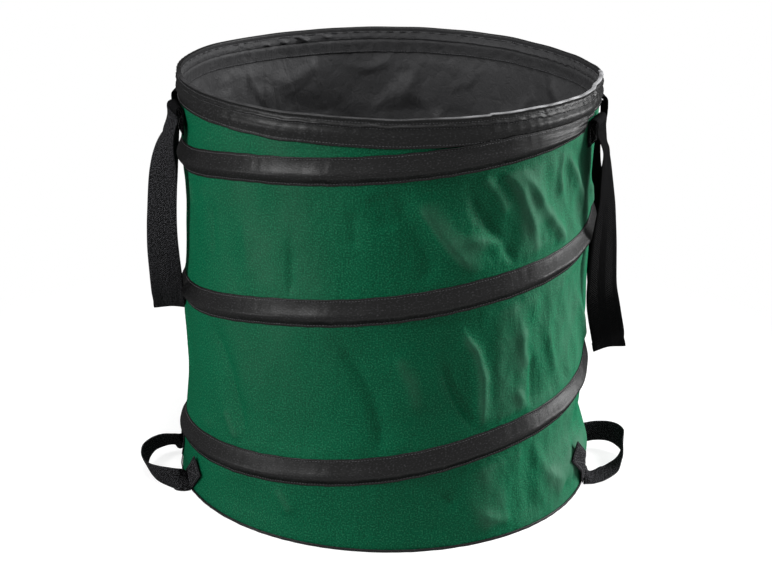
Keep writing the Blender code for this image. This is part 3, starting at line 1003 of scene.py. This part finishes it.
def base_disc(name, radius, top, thickness, rise, finish):
    """A round cloth on the bag's base, its upper side raised by a rule."""
    turn, part = np.meshgrid(ring_angles(BASE_COLUMNS), np.linspace(0, 1, BASE_RINGS), indexing="xy")
    spots = polar(turn, np.maximum(part, 0.004) * radius, top + rise(turn, part))
    skin = np.concatenate([spots, spots[::-1] - [0, 0, thickness]], axis=0)
    flat = np.concatenate([skin, skin[:, :1]], axis=1)[..., :2]
    disc = grid_mesh(name, skin, flat, finish, caps=True, inward=True)
    add_values(disc, "wear_and_painted_sheen", np.zeros(skin.shape[:2]))
    return disc


def crinkled(turn, part):
    """How far the base's lining puffs up over its cloth."""
    ripple = waves(31, 6, turn, part * 0.23, (3, 12), 60, sharp=True)
    puffed = 0.0014 * np.clip(ripple + 0.5, 0, 2.5)
    return puffed * smoothstep(0.0, 0.15, part) * smoothstep(0.0, 0.14, 1 - part)


class BAG_OT_base(bpy.types.Operator):
    """Makes the base cloth, its lining, the wire ring in its casing and the piping"""

    bl_idname = "garden_bag.base"
    bl_label = "Base"

    def execute(self, context):
        outer = sizes().base_radius
        inner = float(wall_radius(WALL_FOOT)) - LINING_CLEAR
        green, dark = green_polyester(), dark_coated_cloth()
        cloth = base_disc(
            "base_cloth", outer, 0.0010, 0.0010, lambda turn, part: 0 * turn, green
        )
        body_piece(cloth, "base", "green_polyester", "base_panel")
        lining = base_disc(
            "base_lining_cloth", inner, 0.0018, 0.0004, crinkled, dark
        )
        body_piece(lining, "base", "dark_coated_cloth", "base_lining")
        wire_ring("base_wire", "base", "base_hoop")

        low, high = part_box("base_casing")
        rim_r, foot, top = float(high[0]), float(low[2]), float(high[2])
        hem_r = inner - CASING_WIDTH
        turns = ring_angles(CASING_STEPS)
        profile = [(rim_r + out, top + up) for out, up in CASING_TOP]
        profile += [(hem_r + out, foot + up) for out, up in CASING_FOOT]
        profile += [(rim_r + out, top + up) for out, up in CASING_UNDER]
        soft = 0.0004 * ring_waves(33, 6, turns, (20, 70))
        rows = [polar(turns, radius - soft, height + soft) for radius, height in profile]
        tape = black_cloth_tape()
        casing = ring_tape("base_casing_tape", turns, rows, profile, inner, 0.001, tape)
        body_piece(casing, "base", "dark_coated_cloth", "base_casing")

        turns = ring_angles(PIPING_STEPS)
        ripple = 0.0002 * ring_waves(34, 6, turns, (40, 110))
        radius = outer + GAP
        rows = [polar(turns, radius + out + (ripple if out else 0), up) for out, up in PIPING_FACE]
        piping = ring_tape("base_piping_tape", turns, rows, PIPING_FACE, radius, 0.005, tape)
        body_piece(piping, "base", "dark_coated_cloth", "base_piping")
        return {"FINISHED"}


# The sleeve's first turn, and how far past it the wire and the stitches start and before it they end
SLEEVE_START = 0.074
WIRE_IN = 0.035
SEAM_IN = 0.006
SLEEVE_END = SPIRAL_TURNS - 0.004
# Points along the sleeve, its wire and its seams
SLEEVE_STEPS, WIRE_STEPS, SEAM_STEPS = 1150, 900, 1500
# The sleeve's face from head to foot: share of the way up (0 foot, 1 head), and millimetres proud
SLEEVE_FACE = (
    (1.000, 0.5), (0.985, 0.9), (0.950, 1.0), (0.925, 0.8), (0.890, 1.1), (0.800, 2.0), (0.700, 3.2),
    (0.600, 4.5), (0.520, 5.7), (0.455, 6.6), (0.400, 7.0), (0.350, 6.8), (0.300, 6.1), (0.250, 5.1),
    (0.200, 3.9), (0.150, 2.7), (0.110, 1.7), (0.085, 1.1), (0.050, 1.0), (0.015, 0.9), (0.000, 0.5),
)
# The back that lies on the wall, from foot to head
SLEEVE_BACK = (0.0, 0.3, 0.6, 0.75, 0.82, 0.87, 0.91, 0.95, 0.98, 1.0)
# The wire in the sleeve and the sleeve's two seams: share of the way up, and metres proud
WIRE_PLACE = (0.39, 0.0039)
SLEEVE_SEAMS = ((0.085, 0.00120), (0.925, 0.00090))


def sleeve_edges(turns):
    """Foot and head of the sleeve; under the rim its head laps over the band's hem."""
    half = sizes().sleeve_height / 2
    middle = spiral_height(turns)
    angle = -360 * turns
    foot = middle - half + 0.0002 * ring_waves(41, 5, angle, (17, 61))
    head = middle + half + 0.0002 * ring_waves(42, 5, angle, (23, 57))
    return foot, np.minimum(head, rim_low() + 0.0060)


def over_hem(height):
    """How much the rim's hem lifts what lies on it."""
    return 0.0021 * smoothstep(rim_low() - 0.0035, rim_low() + 0.0005, height)


def sleeve_spots(turns, share, proud):
    """Points along the sleeve at a share of the way up it and some metres proud of the wall."""
    foot, head = sleeve_edges(turns)
    height = foot + (head - foot) * share
    return polar(-360 * turns, wall_radius(height) + proud + over_hem(height), height)


class BAG_OT_spiral(bpy.types.Operator):
    """Makes the spring wire, the black sleeve round it and the sleeve's stitches"""

    bl_idname = "garden_bag.spiral"
    bl_label = "Spiral"

    def execute(self, context):
        turns = np.linspace(SLEEVE_START, SPIRAL_TURNS, SLEEVE_STEPS)
        grown = smoothstep(SLEEVE_START, SLEEVE_START + 0.03, turns)
        pull = ring_waves(43, 9, -360 * turns, (60, 170))
        slack = ring_waves(44, 5, -360 * turns, (9, 31))
        columns = []
        for share, proud in SLEEVE_FACE:
            slope = smoothstep(0.40, 0.62, share) * smoothstep(0.0, 0.10, 1 - share)
            lower = smoothstep(0.05, 0.15, share) * smoothstep(0.0, 0.12, 0.30 - share)
            out = proud * (1 + 0.05 * slack * (share < 0.9)) + (0.13 * slope + 0.15 * lower) * pull
            out = np.maximum(out / 1000 * (0.35 + 0.65 * grown), 0.0005)
            columns.append(sleeve_spots(turns, share, out))
        columns += [sleeve_spots(turns, share, GAP) for share in SLEEVE_BACK]
        far = lengths(columns[10])
        across = [(1 - share) * sizes().sleeve_height * 1.25 for share, _ in SLEEVE_FACE]
        across += [across[-1] + 0.001 + 0.029 * part for part in (*SLEEVE_BACK, 1.03)]
        spots, flat = np.stack(columns, axis=1), flat_places(far, across)
        sleeve = grid_mesh("spiral_tape", spots, flat, black_cloth_tape(), caps=True, inward=True)
        pack_down(body_piece(sleeve, "base", "black_cloth_tape", "spiral_sleeve"))

        turns = np.linspace(SLEEVE_START + WIRE_IN, SLEEVE_END, WIRE_STEPS)
        line = sleeve_spots(turns, *WIRE_PLACE)
        wire = tube("spiral_wire", line, WIRE / 2, 8, spring_steel())
        pack_down(body_piece(wire, "base", "spring_steel", "spiral_spring"))

        turns = np.linspace(SLEEVE_START + SEAM_IN, SLEEVE_END, SEAM_STEPS)
        out = outward(-360 * turns)
        rows = [(sleeve_spots(turns, share, proud), out) for share, proud in SLEEVE_SEAMS]
        pack_down(sew("spiral_stitches", rows, "base"))
        return {"FINISHED"}


def tube(name, line, radius, sides, finish):
    """A round wire along a line of points."""
    along = course(line)
    out = square_to(along, line * [1, 1, 0])
    up = np.cross(out, along)
    turn = np.arange(sides) * 2 * math.pi / sides
    ring = np.cos(turn)[None, :, None] * out[:, None] + np.sin(turn)[None, :, None] * up[:, None]
    across = np.linspace(0, 2 * math.pi * radius, sides + 1)
    flat = flat_places(lengths(line), across)
    return grid_mesh(name, line[:, None] + radius * ring, flat, finish, caps=True, inward=True)


RIM_STEPS = 720
# Faces of the rim from its top down: millimetres below the top, and out from the wall's rim radius
BAND_OUTSIDE = (
    (6.0, 0.7), (9.0, 1.2), (11.0, 1.3), (12.6, 1.7), (14.4, 2.4), (16.2, 3.0), (18.2, 3.2), (20.4, 3.0),
    (22.6, 2.4), (24.6, 1.9), (26.0, 1.7), (27.1, 1.4), (28.2, 1.8), (29.3, 1.8), (30.0, 1.3),
)
BAND_INSIDE = ((30.0, 0.4), (25.0, 0.5), (18.0, 1.2), (12.0, 0.2), (6.0, 0.0))
BINDING_FACE = (
    (9.4, 1.3), (9.3, 2.4), (8.7, 3.1), (7.8, 3.1), (6.8, 2.3), (5.8, 1.4), (4.8, 1.0), (3.6, 1.0),
    (2.6, 1.5), (1.5, 2.3), (0.6, 2.1), (0.0, 0.9), (0.0, -0.9), (0.5, -2.1), (1.3, -2.5), (2.6, -2.3),
    (4.4, -2.5), (5.4, -2.2), (6.3, -2.6), (6.8, -2.2), (6.8, -1.5), (3.0, -1.1), (1.8, 0.0), (3.0, 0.6),
    (8.6, 0.75),
)
FACING_FACE = (
    (5.0, -2.3), (7.0, -2.5), (8.5, -2.9), (10.0, -3.2), (11.5, -3.6), (12.8, -4.2), (13.8, -4.6),
    (14.4, -4.2), (14.6, -3.6), (15.2, -3.2), (16.5, -3.6), (18.5, -3.8), (21.0, -3.4), (23.5, -3.2),
    (25.2, -3.0), (27.0, -2.9), (29.8, -2.75), (30.9, -2.65), (31.0, -2.35),
)
FACING_BACK = ((30.5, -2.2), (18.0, -1.9), (12.0, -1.9), (5.0, -1.5))
# Seams of the rim: millimetres below the top, out from the rim radius, and the side they show on
OUTSIDE_SEAMS = ((4.9, 1.2, 1), (9.9, 1.6, 1), (27.1, 1.65, 1))
INSIDE_SEAMS = ((5.4, -2.65, -1), (29.3, -2.95, -1))
RIM_LAP_ANGLE = -21.0
RIM_TUCK_ANGLE = 295.7
# How far the binding's lower edge is pulled down where it is bunched, in millimetres
BUNCHED_DROP = 2.6


def rim_crumple(angle):
    """Where the rim's cloth is bunched, on the camera's right."""
    return bump(320, 42, np.asarray(angle) % 360)


def rim_top(angle):
    """The top edge of the rim: slightly wavy, with the binding's lapped end."""
    past = turn_from(angle, RIM_LAP_ANGLE)
    lap = 0.0034 * smoothstep(-0.7, 0.7, past) * (1 - smoothstep(9, 26, past))
    past = turn_from(angle, RIM_TUCK_ANGLE)
    lap = lap + 0.0013 * smoothstep(-0.4, 0.4, past) * (1 - smoothstep(16, 36, past))
    wavy = 0.00030 * ring_waves(51, 5, angle, (7, 26))
    turn = np.asarray(angle) % 360
    back = 0.0018 * bump(90, 100, turn) + 0.0022 * bump(128, 44, turn) + 0.0030 * bump(26, 40, turn)
    return sizes().height + lap + wavy - back


def band_shift(angle, depth, out):
    outer = (depth, out) in BAND_OUTSIDE
    shaped = bump(18, 10, depth) * outer
    ripple = 0.16 * waves(61, 7, angle, depth / 1000 + 0 * angle, (50, 130), 300)
    soft = 0.22 * ring_waves(62, 4, angle, (8, 30)) * shaped
    edge = 0.35 * ring_waves(63, 5, angle, (12, 44)) * smoothstep(24, 30, depth)
    return edge, (ripple + soft) * outer


def binding_shift(angle, depth, out):
    outside = smoothstep(0.5, 1.5, out)
    low = smoothstep(3.5, 7.0, depth)
    crumple = rim_crumple(angle)
    deeper = BUNCHED_DROP * crumple * low * outside
    deeper = deeper + 0.35 * ring_waves(64, 6, angle, (18, 60)) * low
    crinkle = waves(65, 8, angle, depth / 1000 + 0 * angle, (45, 120), 500, sharp=True)
    visible = smoothstep(1.2, 1.8, abs(out))
    further = 0.13 * ring_waves(66, 6, angle, (40, 110)) * visible
    return deeper, further + 0.45 * crumple * crinkle * outside * bump(5, 5, depth)


def facing_shift(angle, depth, out):
    inner = (depth, out) in FACING_FACE
    hem = bump(13, 4.5, depth) * inner
    uneven = np.clip(0.35 + 0.65 * ring_waves(75, 4, angle, (3, 9)), 0, 1.2)
    deeper = 0.8 * ring_waves(67, 7, angle, (17, 90), sharp=True) * hem * uneven
    loose = waves(68, 6, angle, depth / 1000 + 0 * angle, (14, 34), 480, sharp=True)
    further = -0.35 * np.clip(loose + 0.3, 0, 2.5) * hem * uneven
    wide = bump(12, 9, depth) * inner
    further = further - 5.0 * np.clip(loose + 0.2, 0, 1.5) * wide * bump(124, 36, angle % 360)
    further = further - 0.22 * ring_waves(69, 6, angle, (40, 110)) * inner
    flatter = 1 - bump(52, 54, angle % 360)
    return deeper, further + 1.2 * flatter * bump(13.6, 2.4, depth) * inner


def rim_ring(name, profile, finish, shift, slot, node, inward=False):
    """A ring of the rim from its profile; shift moves each point's depth and reach, in millimetres."""
    radius = sizes().rim_radius
    angle = ring_angles(RIM_STEPS)
    top = rim_top(angle)
    rows = []
    for depth, out in profile:
        deeper, further = shift(angle, depth, out)
        rows.append(polar(angle, radius + (out + further) / 1000, top - (depth + deeper) / 1000))
    across = [(depth / 1000, out / 1000) for depth, out in profile]
    ring = ring_tape(name, angle, rows, across, radius, 0.001, finish, inward)
    return body_piece(ring, "rim", slot, node)


class BAG_OT_rim(bpy.types.Operator):
    """Makes the rim: band, facing, wire ring, binding and their stitches"""

    bl_idname = "garden_bag.rim"
    bl_label = "Rim"

    def execute(self, context):
        radius = sizes().rim_radius
        tape, dark = black_cloth_tape(), dark_coated_cloth()
        face = BAND_OUTSIDE + BAND_INSIDE
        band = rim_ring("rim_band_tape", face, tape, band_shift, "black_cloth_tape", "rim_band")

        binding = rim_ring(
            "rim_binding_tape", BINDING_FACE, tape, binding_shift, "black_cloth_tape", "rim_binding", True
        )
        angle = ring_angles(RIM_STEPS)
        # The binding's top edge is painted paler, most on the right front: a painted highlight along the
        # edge, with some wear; its inner faces are a little paler too
        edge = np.array([depth < 0.8 and out > -2.2 for depth, out in BINDING_FACE], float)
        within = 0.09 * np.array([out < -2 and depth > 1 for depth, out in BINDING_FACE], float)
        worn = (0.10 + 0.80 * smoothstep(276, 300, angle)) * smoothstep(185, 205, angle)
        worn = worn * (0.75 + 0.25 * ring_waves(70, 6, angle, (20, 70)))
        add_values(binding, "wear_and_painted_sheen", np.clip(worn[:, None] * edge + within, 0, 1))

        face = FACING_FACE[::-1] + FACING_BACK[::-1]
        facing = rim_ring(
            "rim_facing_cloth", face, dark, facing_shift, "dark_coated_cloth", "rim_facing"
        )
        wire_ring("rim_wire", "rim", "rim_hoop")

        angle = np.linspace(0, 360, 1440)
        top = rim_top(angle)
        for name, seams, slot in (
            ("rim_stitches_outside", OUTSIDE_SEAMS, "black_cloth_tape"),
            ("rim_stitches_inside", INSIDE_SEAMS, "dark_coated_cloth"),
        ):
            rows = []
            for depth, out, side in seams:
                lower = BUNCHED_DROP * rim_crumple(angle) * (depth < 12) * (side > 0)
                line = polar(angle, radius + out / 1000, top - (depth + lower) / 1000)
                rows.append((line, side * outward(angle)))
            sew(name, rows, "rim", slot)
        return {"FINISHED"}


def spline(points, count):
    """A smooth line through points, with even steps."""
    points = np.asarray(points, float)
    padded = np.vstack([2 * points[0] - points[1], points, 2 * points[-1] - points[-2]])
    rows = []
    for k in range(1, len(padded) - 2):
        a, b, c, d = padded[k - 1 : k + 3]
        for t in np.arange(12) / 12:
            spot = 2 * b + (c - a) * t + (2 * a - 5 * b + 4 * c - d) * t * t
            rows.append(0.5 * (spot + (3 * b - a - 3 * c + d) * t**3))
    rows = np.array([*rows, points[-1]])
    far = lengths(rows[:, :3])
    return points_at(np.linspace(0, far[-1], count), far, rows)


# Across the webbing: share of the half-width, and share of the half-thickness
WEBBING_FACE = tuple(
    (across, 1 - 0.45 * abs(across) ** 10) for across in np.linspace(-1, 1, 17).round(4)
)
# The back of the webbing starts this far on from its face, on the flat cloth
WEBBING_BACK = 0.5


def webbing_strap(name, places, width, seed, worn):
    """Webbing along a line of places: a point, then the direction of the width."""
    thick = sizes().webbing
    line = places[:, :3]
    along = course(line)
    across = square_to(along, places[:, 3:])
    face = np.cross(across, along)
    far = lengths(line)
    draw = np.random.default_rng(seed)
    cup = 0.0004 * np.sin(far * 38 + draw.uniform(0, 6)) + 0.0003 * np.sin(far * 91 + draw.uniform(0, 6))
    cup = cup * smoothstep(0, 0.03, np.minimum(far, far[-1] - far))
    columns, cut = [], []
    for side, faces, start in ((1, WEBBING_FACE, 0), (-1, WEBBING_FACE[::-1], WEBBING_BACK)):
        for share, deep in faces:
            lift = cup * (share**2 - 0.33) + side * deep * thick / 2
            columns.append(line + across * (share * width / 2) + face * lift[:, None])
            cut.append(share * width / 2 + start)
    spots = np.stack(columns, axis=1)
    flat = flat_places(far, np.append(cut, cut[0] + 1))
    strap = grid_mesh(name, spots, flat, black_webbing(), caps=True)
    add_values(strap, "wear_and_painted_sheen", np.full(spots.shape[:2], worn))
    return strap


def carry_fold_height():
    return rim_low() - CARRY_BELOW_RIM


def carry_radius():
    """The middle of the webbing where it is sewn on, below the rim band."""
    return float(wall_radius(carry_fold_height())) + GAP + sizes().webbing / 2


def carry_fold(name, angle, fold, twist, node):
    """A sewn end: up the wall, folded over outwards, and down to the hanging loop."""
    fold_z, radius = carry_fold_height(), carry_radius()
    points = [(radius, fold_z - CARRY_SEWN * part) for part in (1, 0.75, 0.5, 0.25, 0)]
    for turn in np.linspace(0, math.pi, 15)[1:]:
        points.append((radius + fold * (1 - math.cos(turn)), fold_z + fold * math.sin(turn)))
    points.append((radius + 2 * fold, fold_z - CARRY_FOLD_TAIL))
    line = np.stack([polar(angle, out, up) for out, up in points])
    turned = angle + twist * smoothstep(6, len(line) - 1, np.arange(len(line)))
    piece = webbing_strap(name, np.c_[line, sideways(turned)], sizes().carry_width, 73, FOLD_WORN)
    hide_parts(node)
    start = outward(angle) * radius + [0, 0, fold_z]
    end = outward(angle) * (radius + 2 * fold) + [0, 0, fold_z]
    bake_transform(piece)


def crossed_square(half, low, high, steps):
    """The lines of a sewn square with a cross on it: places across and up."""
    corners = np.array([(-half, low), (half, low), (half, high), (-half, high)])
    part = np.linspace(0.03, 0.97, steps)
    for first, last in ((0, 1), (1, 2), (2, 3), (3, 0), (0, 2), (1, 3)):
        yield [start + (end - start) * part for start, end in zip(corners[first], corners[last])]


def box_of_stitches(angle, radius, low, high, half):
    """A sewn square on the face of webbing that lies flat on the wall."""
    for side, up in crossed_square(half, low, high, 12):
        line = outward(angle) * radius + sideways(angle) * side[:, None] + np.array([0, 0, 1]) * up[:, None]
        yield line, np.tile(outward(angle), (len(line), 1))


# Hanging loops from the front end to the rear one: a point in metres, then the direction of the width
LEFT_CARRY_LINE = (
    (-0.2346, -0.0680, 0.4067, 0.42, -0.90, 0.10),
    (-0.2392, -0.0690, 0.3862, 0.66, -0.73, 0.16),
    (-0.2407, -0.0690, 0.3684, 0.80, -0.57, 0.18),
    (-0.2418, -0.0690, 0.3506, 0.86, -0.49, 0.16),
    (-0.2435, -0.0690, 0.3236, 0.88, -0.46, 0.16),
    (-0.2444, -0.0680, 0.3005, 0.90, -0.41, 0.15),
    (-0.2440, -0.0650, 0.2720, 0.94, -0.32, 0.12),
    (-0.2431, -0.0550, 0.2389, 0.95, -0.27, 0.15),
    (-0.2432, -0.0400, 0.2128, 0.91, -0.35, 0.21),
    (-0.2440, -0.0180, 0.1921, 0.87, -0.45, 0.22),
    (-0.2456, 0.0080, 0.1928, 0.65, 0.74, -0.20),
    (-0.2495, 0.0280, 0.2008, 0.65, 0.73, -0.22),
    (-0.2540, 0.0420, 0.2197, 0.67, 0.70, -0.23),
    (-0.2574, 0.0500, 0.2476, 0.65, 0.72, -0.23),
    (-0.2582, 0.0540, 0.2827, 0.61, 0.76, -0.23),
    (-0.2545, 0.0520, 0.3188, 0.58, 0.79, -0.20),
    (-0.2500, 0.0470, 0.3550, 0.42, 0.88, -0.18),
    (-0.2450, 0.0390, 0.3837, 0.26, 0.95, -0.15),
    (-0.2405, 0.0290, 0.4075, 0.12, 0.98, -0.10),
)
RIGHT_CARRY_LINE = (
    (0.2293, -0.0830, 0.4031, 0.26, 0.93, -0.25),
    (0.2311, -0.0800, 0.3869, 0.32, 0.91, -0.25),
    (0.2329, -0.0760, 0.3681, 0.40, 0.88, -0.25),
    (0.2347, -0.0720, 0.3446, 0.49, 0.83, -0.24),
    (0.2358, -0.0680, 0.3209, 0.63, 0.75, -0.23),
    (0.2364, -0.0640, 0.2922, 0.76, 0.62, -0.19),
    (0.2372, -0.0600, 0.2608, 0.85, 0.51, -0.16),
    (0.2388, -0.0560, 0.2302, 0.92, 0.38, -0.06),
    (0.2435, -0.0480, 0.2048, 0.97, 0.10, 0.26),
    (0.2504, -0.0360, 0.1755, 0.98, 0.05, 0.20),
    (0.2556, -0.0180, 0.1520, 0.85, 0.53, -0.07),
    (0.2566, 0.0140, 0.1540, 0.70, -0.63, 0.33),
    (0.2531, 0.0300, 0.1731, 0.69, -0.65, 0.32),
    (0.2483, 0.0400, 0.1991, 0.61, -0.74, 0.28),
    (0.2438, 0.0440, 0.2346, 0.51, -0.81, 0.29),
    (0.2413, 0.0460, 0.2704, 0.41, -0.87, 0.29),
    (0.2395, 0.0480, 0.3059, 0.28, -0.92, 0.28),
    (0.2380, 0.0480, 0.3416, 0.18, -0.94, 0.27),
    (0.2369, 0.0450, 0.3659, 0.06, -0.96, 0.27),
    (0.2375, 0.0380, 0.3950, -0.05, -0.97, 0.25),
)


class BAG_OT_carry_handles(bpy.types.Operator):
    """Makes the two carry handles, with their folded and sewn ends"""

    bl_idname = "garden_bag.carry_handles"
    bl_label = "Carry handles"

    def execute(self, context):
        made = sizes()
        fold_z = carry_fold_height()
        face = carry_radius() + made.webbing / 2 + 0.0001
        stitches = []
        foot, head, half = CARRY_SQUARE
        for side, turns, stations in (
            ("left", LEFT_CARRY_ENDS, LEFT_CARRY_LINE),
            ("right", RIGHT_CARRY_ENDS, RIGHT_CARRY_LINE),
        ):
            ends = []
            for turn, (angle, fold, twist) in zip((-1, 1), turns):
                hang = carry_radius() + 2 * fold
                for drop in (CARRY_FOLD_TAIL, CARRY_FOLD_TAIL + 0.008):
                    ends.append([*polar(angle, hang, fold_z - drop), *(-turn * sideways(angle + twist))])
            line = spline([*ends[:2], *stations, ends[3], ends[2]], CARRY_STEPS)
            body = f"{side}_handle"
            handle = webbing_strap(f"{body}_webbing", line, made.carry_width, 71, CARRY_WEAR_AND_SHEEN[side])
            body_piece(handle, body, "black_webbing", f"{side}_carry_handle")
            pack_down(handle)
            for end, (angle, fold, twist) in zip(("front", "rear"), turns):
                carry_fold(f"{body}_{end}_fold", angle, fold, twist, f"{side}_carry_{end}_end")
                stitches += box_of_stitches(angle, face, fold_z - foot, fold_z - head, half)
        sew("handle_stitches", stitches, "rim", "black_webbing")
        return {"FINISHED"}


# Grab loops from the front end to the rear one: a point in metres, then the direction of the width
LEFT_GRAB_LINE = (
    (-0.2197, -0.0901, 0.0088, -0.29, 0.71, 0.64),
    (-0.2255, -0.0940, 0.0105, -0.25, 0.45, 0.85),
    (-0.2325, -0.0955, 0.0130, -0.10, 0.10, 0.99),
    (-0.2417, -0.0922, 0.0134, 0.00, -0.11, 0.99),
    (-0.2518, -0.0860, 0.0128, 0.00, -0.30, 0.95),
    (-0.2605, -0.0775, 0.0120, -0.15, -0.36, 0.90),
    (-0.2680, -0.0655, 0.0118, -0.30, -0.33, 0.88),
    (-0.2730, -0.0520, 0.0132, -0.35, -0.15, 0.90),
    (-0.2748, -0.0385, 0.0160, -0.20, 0.00, 0.95),
    (-0.2712, -0.0265, 0.0187, 0.05, -0.10, 0.99),
    (-0.2645, -0.0175, 0.0208, 0.15, -0.35, 0.92),
    (-0.2555, -0.0115, 0.0214, 0.05, -0.52, 0.85),
    (-0.2455, -0.0085, 0.0213, 0.03, -0.58, 0.80),
    (-0.2385, -0.0070, 0.0200, 0.00, -0.45, 0.89),
    (-0.2363, -0.0020, 0.0200, 0.00, -0.10, 0.99),
    (-0.2358, 0.0060, 0.0200, 0.00, 0.00, 1.00),
)
RIGHT_GRAB_LINE = (
    (0.2305, -0.0560, 0.0085, 0.19, 0.75, 0.64),
    (0.2345, -0.0555, 0.0078, 0.10, 0.85, 0.46),
    (0.2400, -0.0530, 0.0050, 0.00, 0.98, 0.12),
    (0.2476, -0.0480, 0.0032, -0.14, 0.98, 0.02),
    (0.2570, -0.0390, 0.0030, -0.25, 0.96, 0.00),
    (0.2650, -0.0285, 0.0042, -0.20, 0.97, -0.02),
    (0.2722, -0.0170, 0.0086, -0.05, 0.96, -0.20),
    (0.2780, -0.0060, 0.0124, 0.12, 0.86, -0.48),
    (0.2818, 0.0040, 0.0146, 0.15, 0.50, -0.85),
    (0.2835, 0.0140, 0.0165, 0.00, 0.20, -0.98),
    (0.2820, 0.0235, 0.0188, -0.15, 0.00, -0.99),
    (0.2765, 0.0315, 0.0207, -0.10, -0.12, -0.98),
    (0.2685, 0.0355, 0.0218, -0.02, -0.05, -1.00),
    (0.2590, 0.0355, 0.0224, 0.00, 0.00, -1.00),
    (0.2490, 0.0340, 0.0224, 0.00, 0.00, -1.00),
    (0.2375, 0.0306, 0.0215, 0.00, 0.00, -1.00),
)
# The front tabs: their lean towards the loop in degrees, the height that they lean about, their top
LEFT_TAB = (43.0, 0.022, 0.037)
RIGHT_TAB = (46.0, 0.025, 0.058)
REAR_TAB = (0.0, 0.022, 0.038)


def tab_line(angle, tab, up, lift):
    """A line up the foot of the wall that leans: points, each with the direction of its width."""
    along_wall = (tab[1] - up) * math.tan(math.radians(tab[0]))
    turns = angle + np.degrees(along_wall / sizes().base_radius)
    line = polar(turns, skin_radius(turns, up) + lift, up)
    return np.c_[line, np.cross(outward(turns), np.gradient(line, axis=0))]


def tab_stitches(angle, tab, lift):
    """A sewn square on a tab."""
    low, head, half = TAB_SQUARE
    high = tab[2] - head
    levels = np.linspace(low, high, 24)
    line = tab_line(angle, tab, levels, lift)
    for side, up in crossed_square(half, low, high, 16):
        spots = points_at(up, levels, line[:, :3]) + points_at(up, levels, unit(line[:, 3:])) * side[:, None]
        yield spots, outward(np.degrees(np.arctan2(spots[:, 1], spots[:, 0])))


class BAG_OT_grab_loops(bpy.types.Operator):
    """Makes the two grab loops at the foot, with their sewn tabs"""

    bl_idname = "garden_bag.grab_loops"
    bl_label = "Grab loops"

    def execute(self, context):
        made = sizes()
        width = made.grab_width
        stitches = []
        for side, centre, stations, front, sign in (
            ("left", LEFT_GRAB_ANGLE, LEFT_GRAB_LINE, LEFT_TAB, -1),
            ("right", RIGHT_GRAB_ANGLE, RIGHT_GRAB_LINE, RIGHT_TAB, 1),
        ):
            loop = webbing_strap(f"{side}_loop_webbing", spline(stations, GRAB_STEPS), width, 81, GRAB_WORN)
            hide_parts(f"{side}_grab_loop")
            near, far = (tuple(outward(centre) * radius) for radius in GRAB_HINGE)
            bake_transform(loop)
            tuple(near)
            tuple(far)
            for end, turn, tab, foot, layers in (
                ("front", -1, front, LEANING_TAB_FOOT, 1.7),
                ("rear", 1, REAR_TAB, GRAB_TAB_FOOT, 0.5),
            ):
                angle = centre + sign * turn * GRAB_HALF_ANGLE
                tab = (sign * tab[0], *tab[1:])
                lift = GAP + made.webbing * layers
                line = tab_line(angle, tab, np.linspace(foot, tab[2], 18), lift)
                piece = webbing_strap(f"{side}_loop_{end}_tab", line, width, 83, GRAB_WORN)
                body_piece(piece, "base", "black_webbing", f"{side}_grab_{end}_end")
                stitches += tab_stitches(angle, tab, lift + made.webbing / 2 + 0.0002)
        sew("loop_stitches", stitches, "base", "black_webbing")
        return {"FINISHED"}


OPERATORS = (
    BAG_OT_stage,
    BAG_OT_wall,
    BAG_OT_base,
    BAG_OT_spiral,
    BAG_OT_rim,
    BAG_OT_carry_handles,
    BAG_OT_grab_loops,
)


class BAG_PT_panel(bpy.types.Panel):
    """The bag's sizes, colours and pieces"""

    bl_idname = "BAG_PT_panel"
    bl_label = "Garden bag"
    bl_space_type = "VIEW_3D"
    bl_region_type = "UI"
    bl_category = "Garden Bag"

    def draw(self, context):
        for group in (sizes(), colours()):
            column = self.layout.column(align=True)
            for name in group.__annotations__:
                column.prop(group, name)
        for operator in OPERATORS:
            self.layout.operator(operator.bl_idname)


CLASSES = (GardenBagSizes, GardenBagColours, *OPERATORS, BAG_PT_panel)


def register():
    for item in CLASSES:
        bpy.utils.register_class(item)
    bpy.types.Scene.garden_bag_sizes = bpy.props.PointerProperty(type=GardenBagSizes)
    bpy.types.Scene.garden_bag_colours = bpy.props.PointerProperty(type=GardenBagColours)


def unregister():
    del bpy.types.Scene.garden_bag_colours
    del bpy.types.Scene.garden_bag_sizes
    for item in reversed(CLASSES):
        bpy.utils.unregister_class(item)


def main():
    register()
    bpy.ops.garden_bag.stage()
    bpy.ops.garden_bag.wall()
    bpy.ops.garden_bag.base()
    bpy.ops.garden_bag.spiral()
    bpy.ops.garden_bag.rim()
    bpy.ops.garden_bag.carry_handles()
    bpy.ops.garden_bag.grab_loops()


if __name__ == "__main__":
    main()
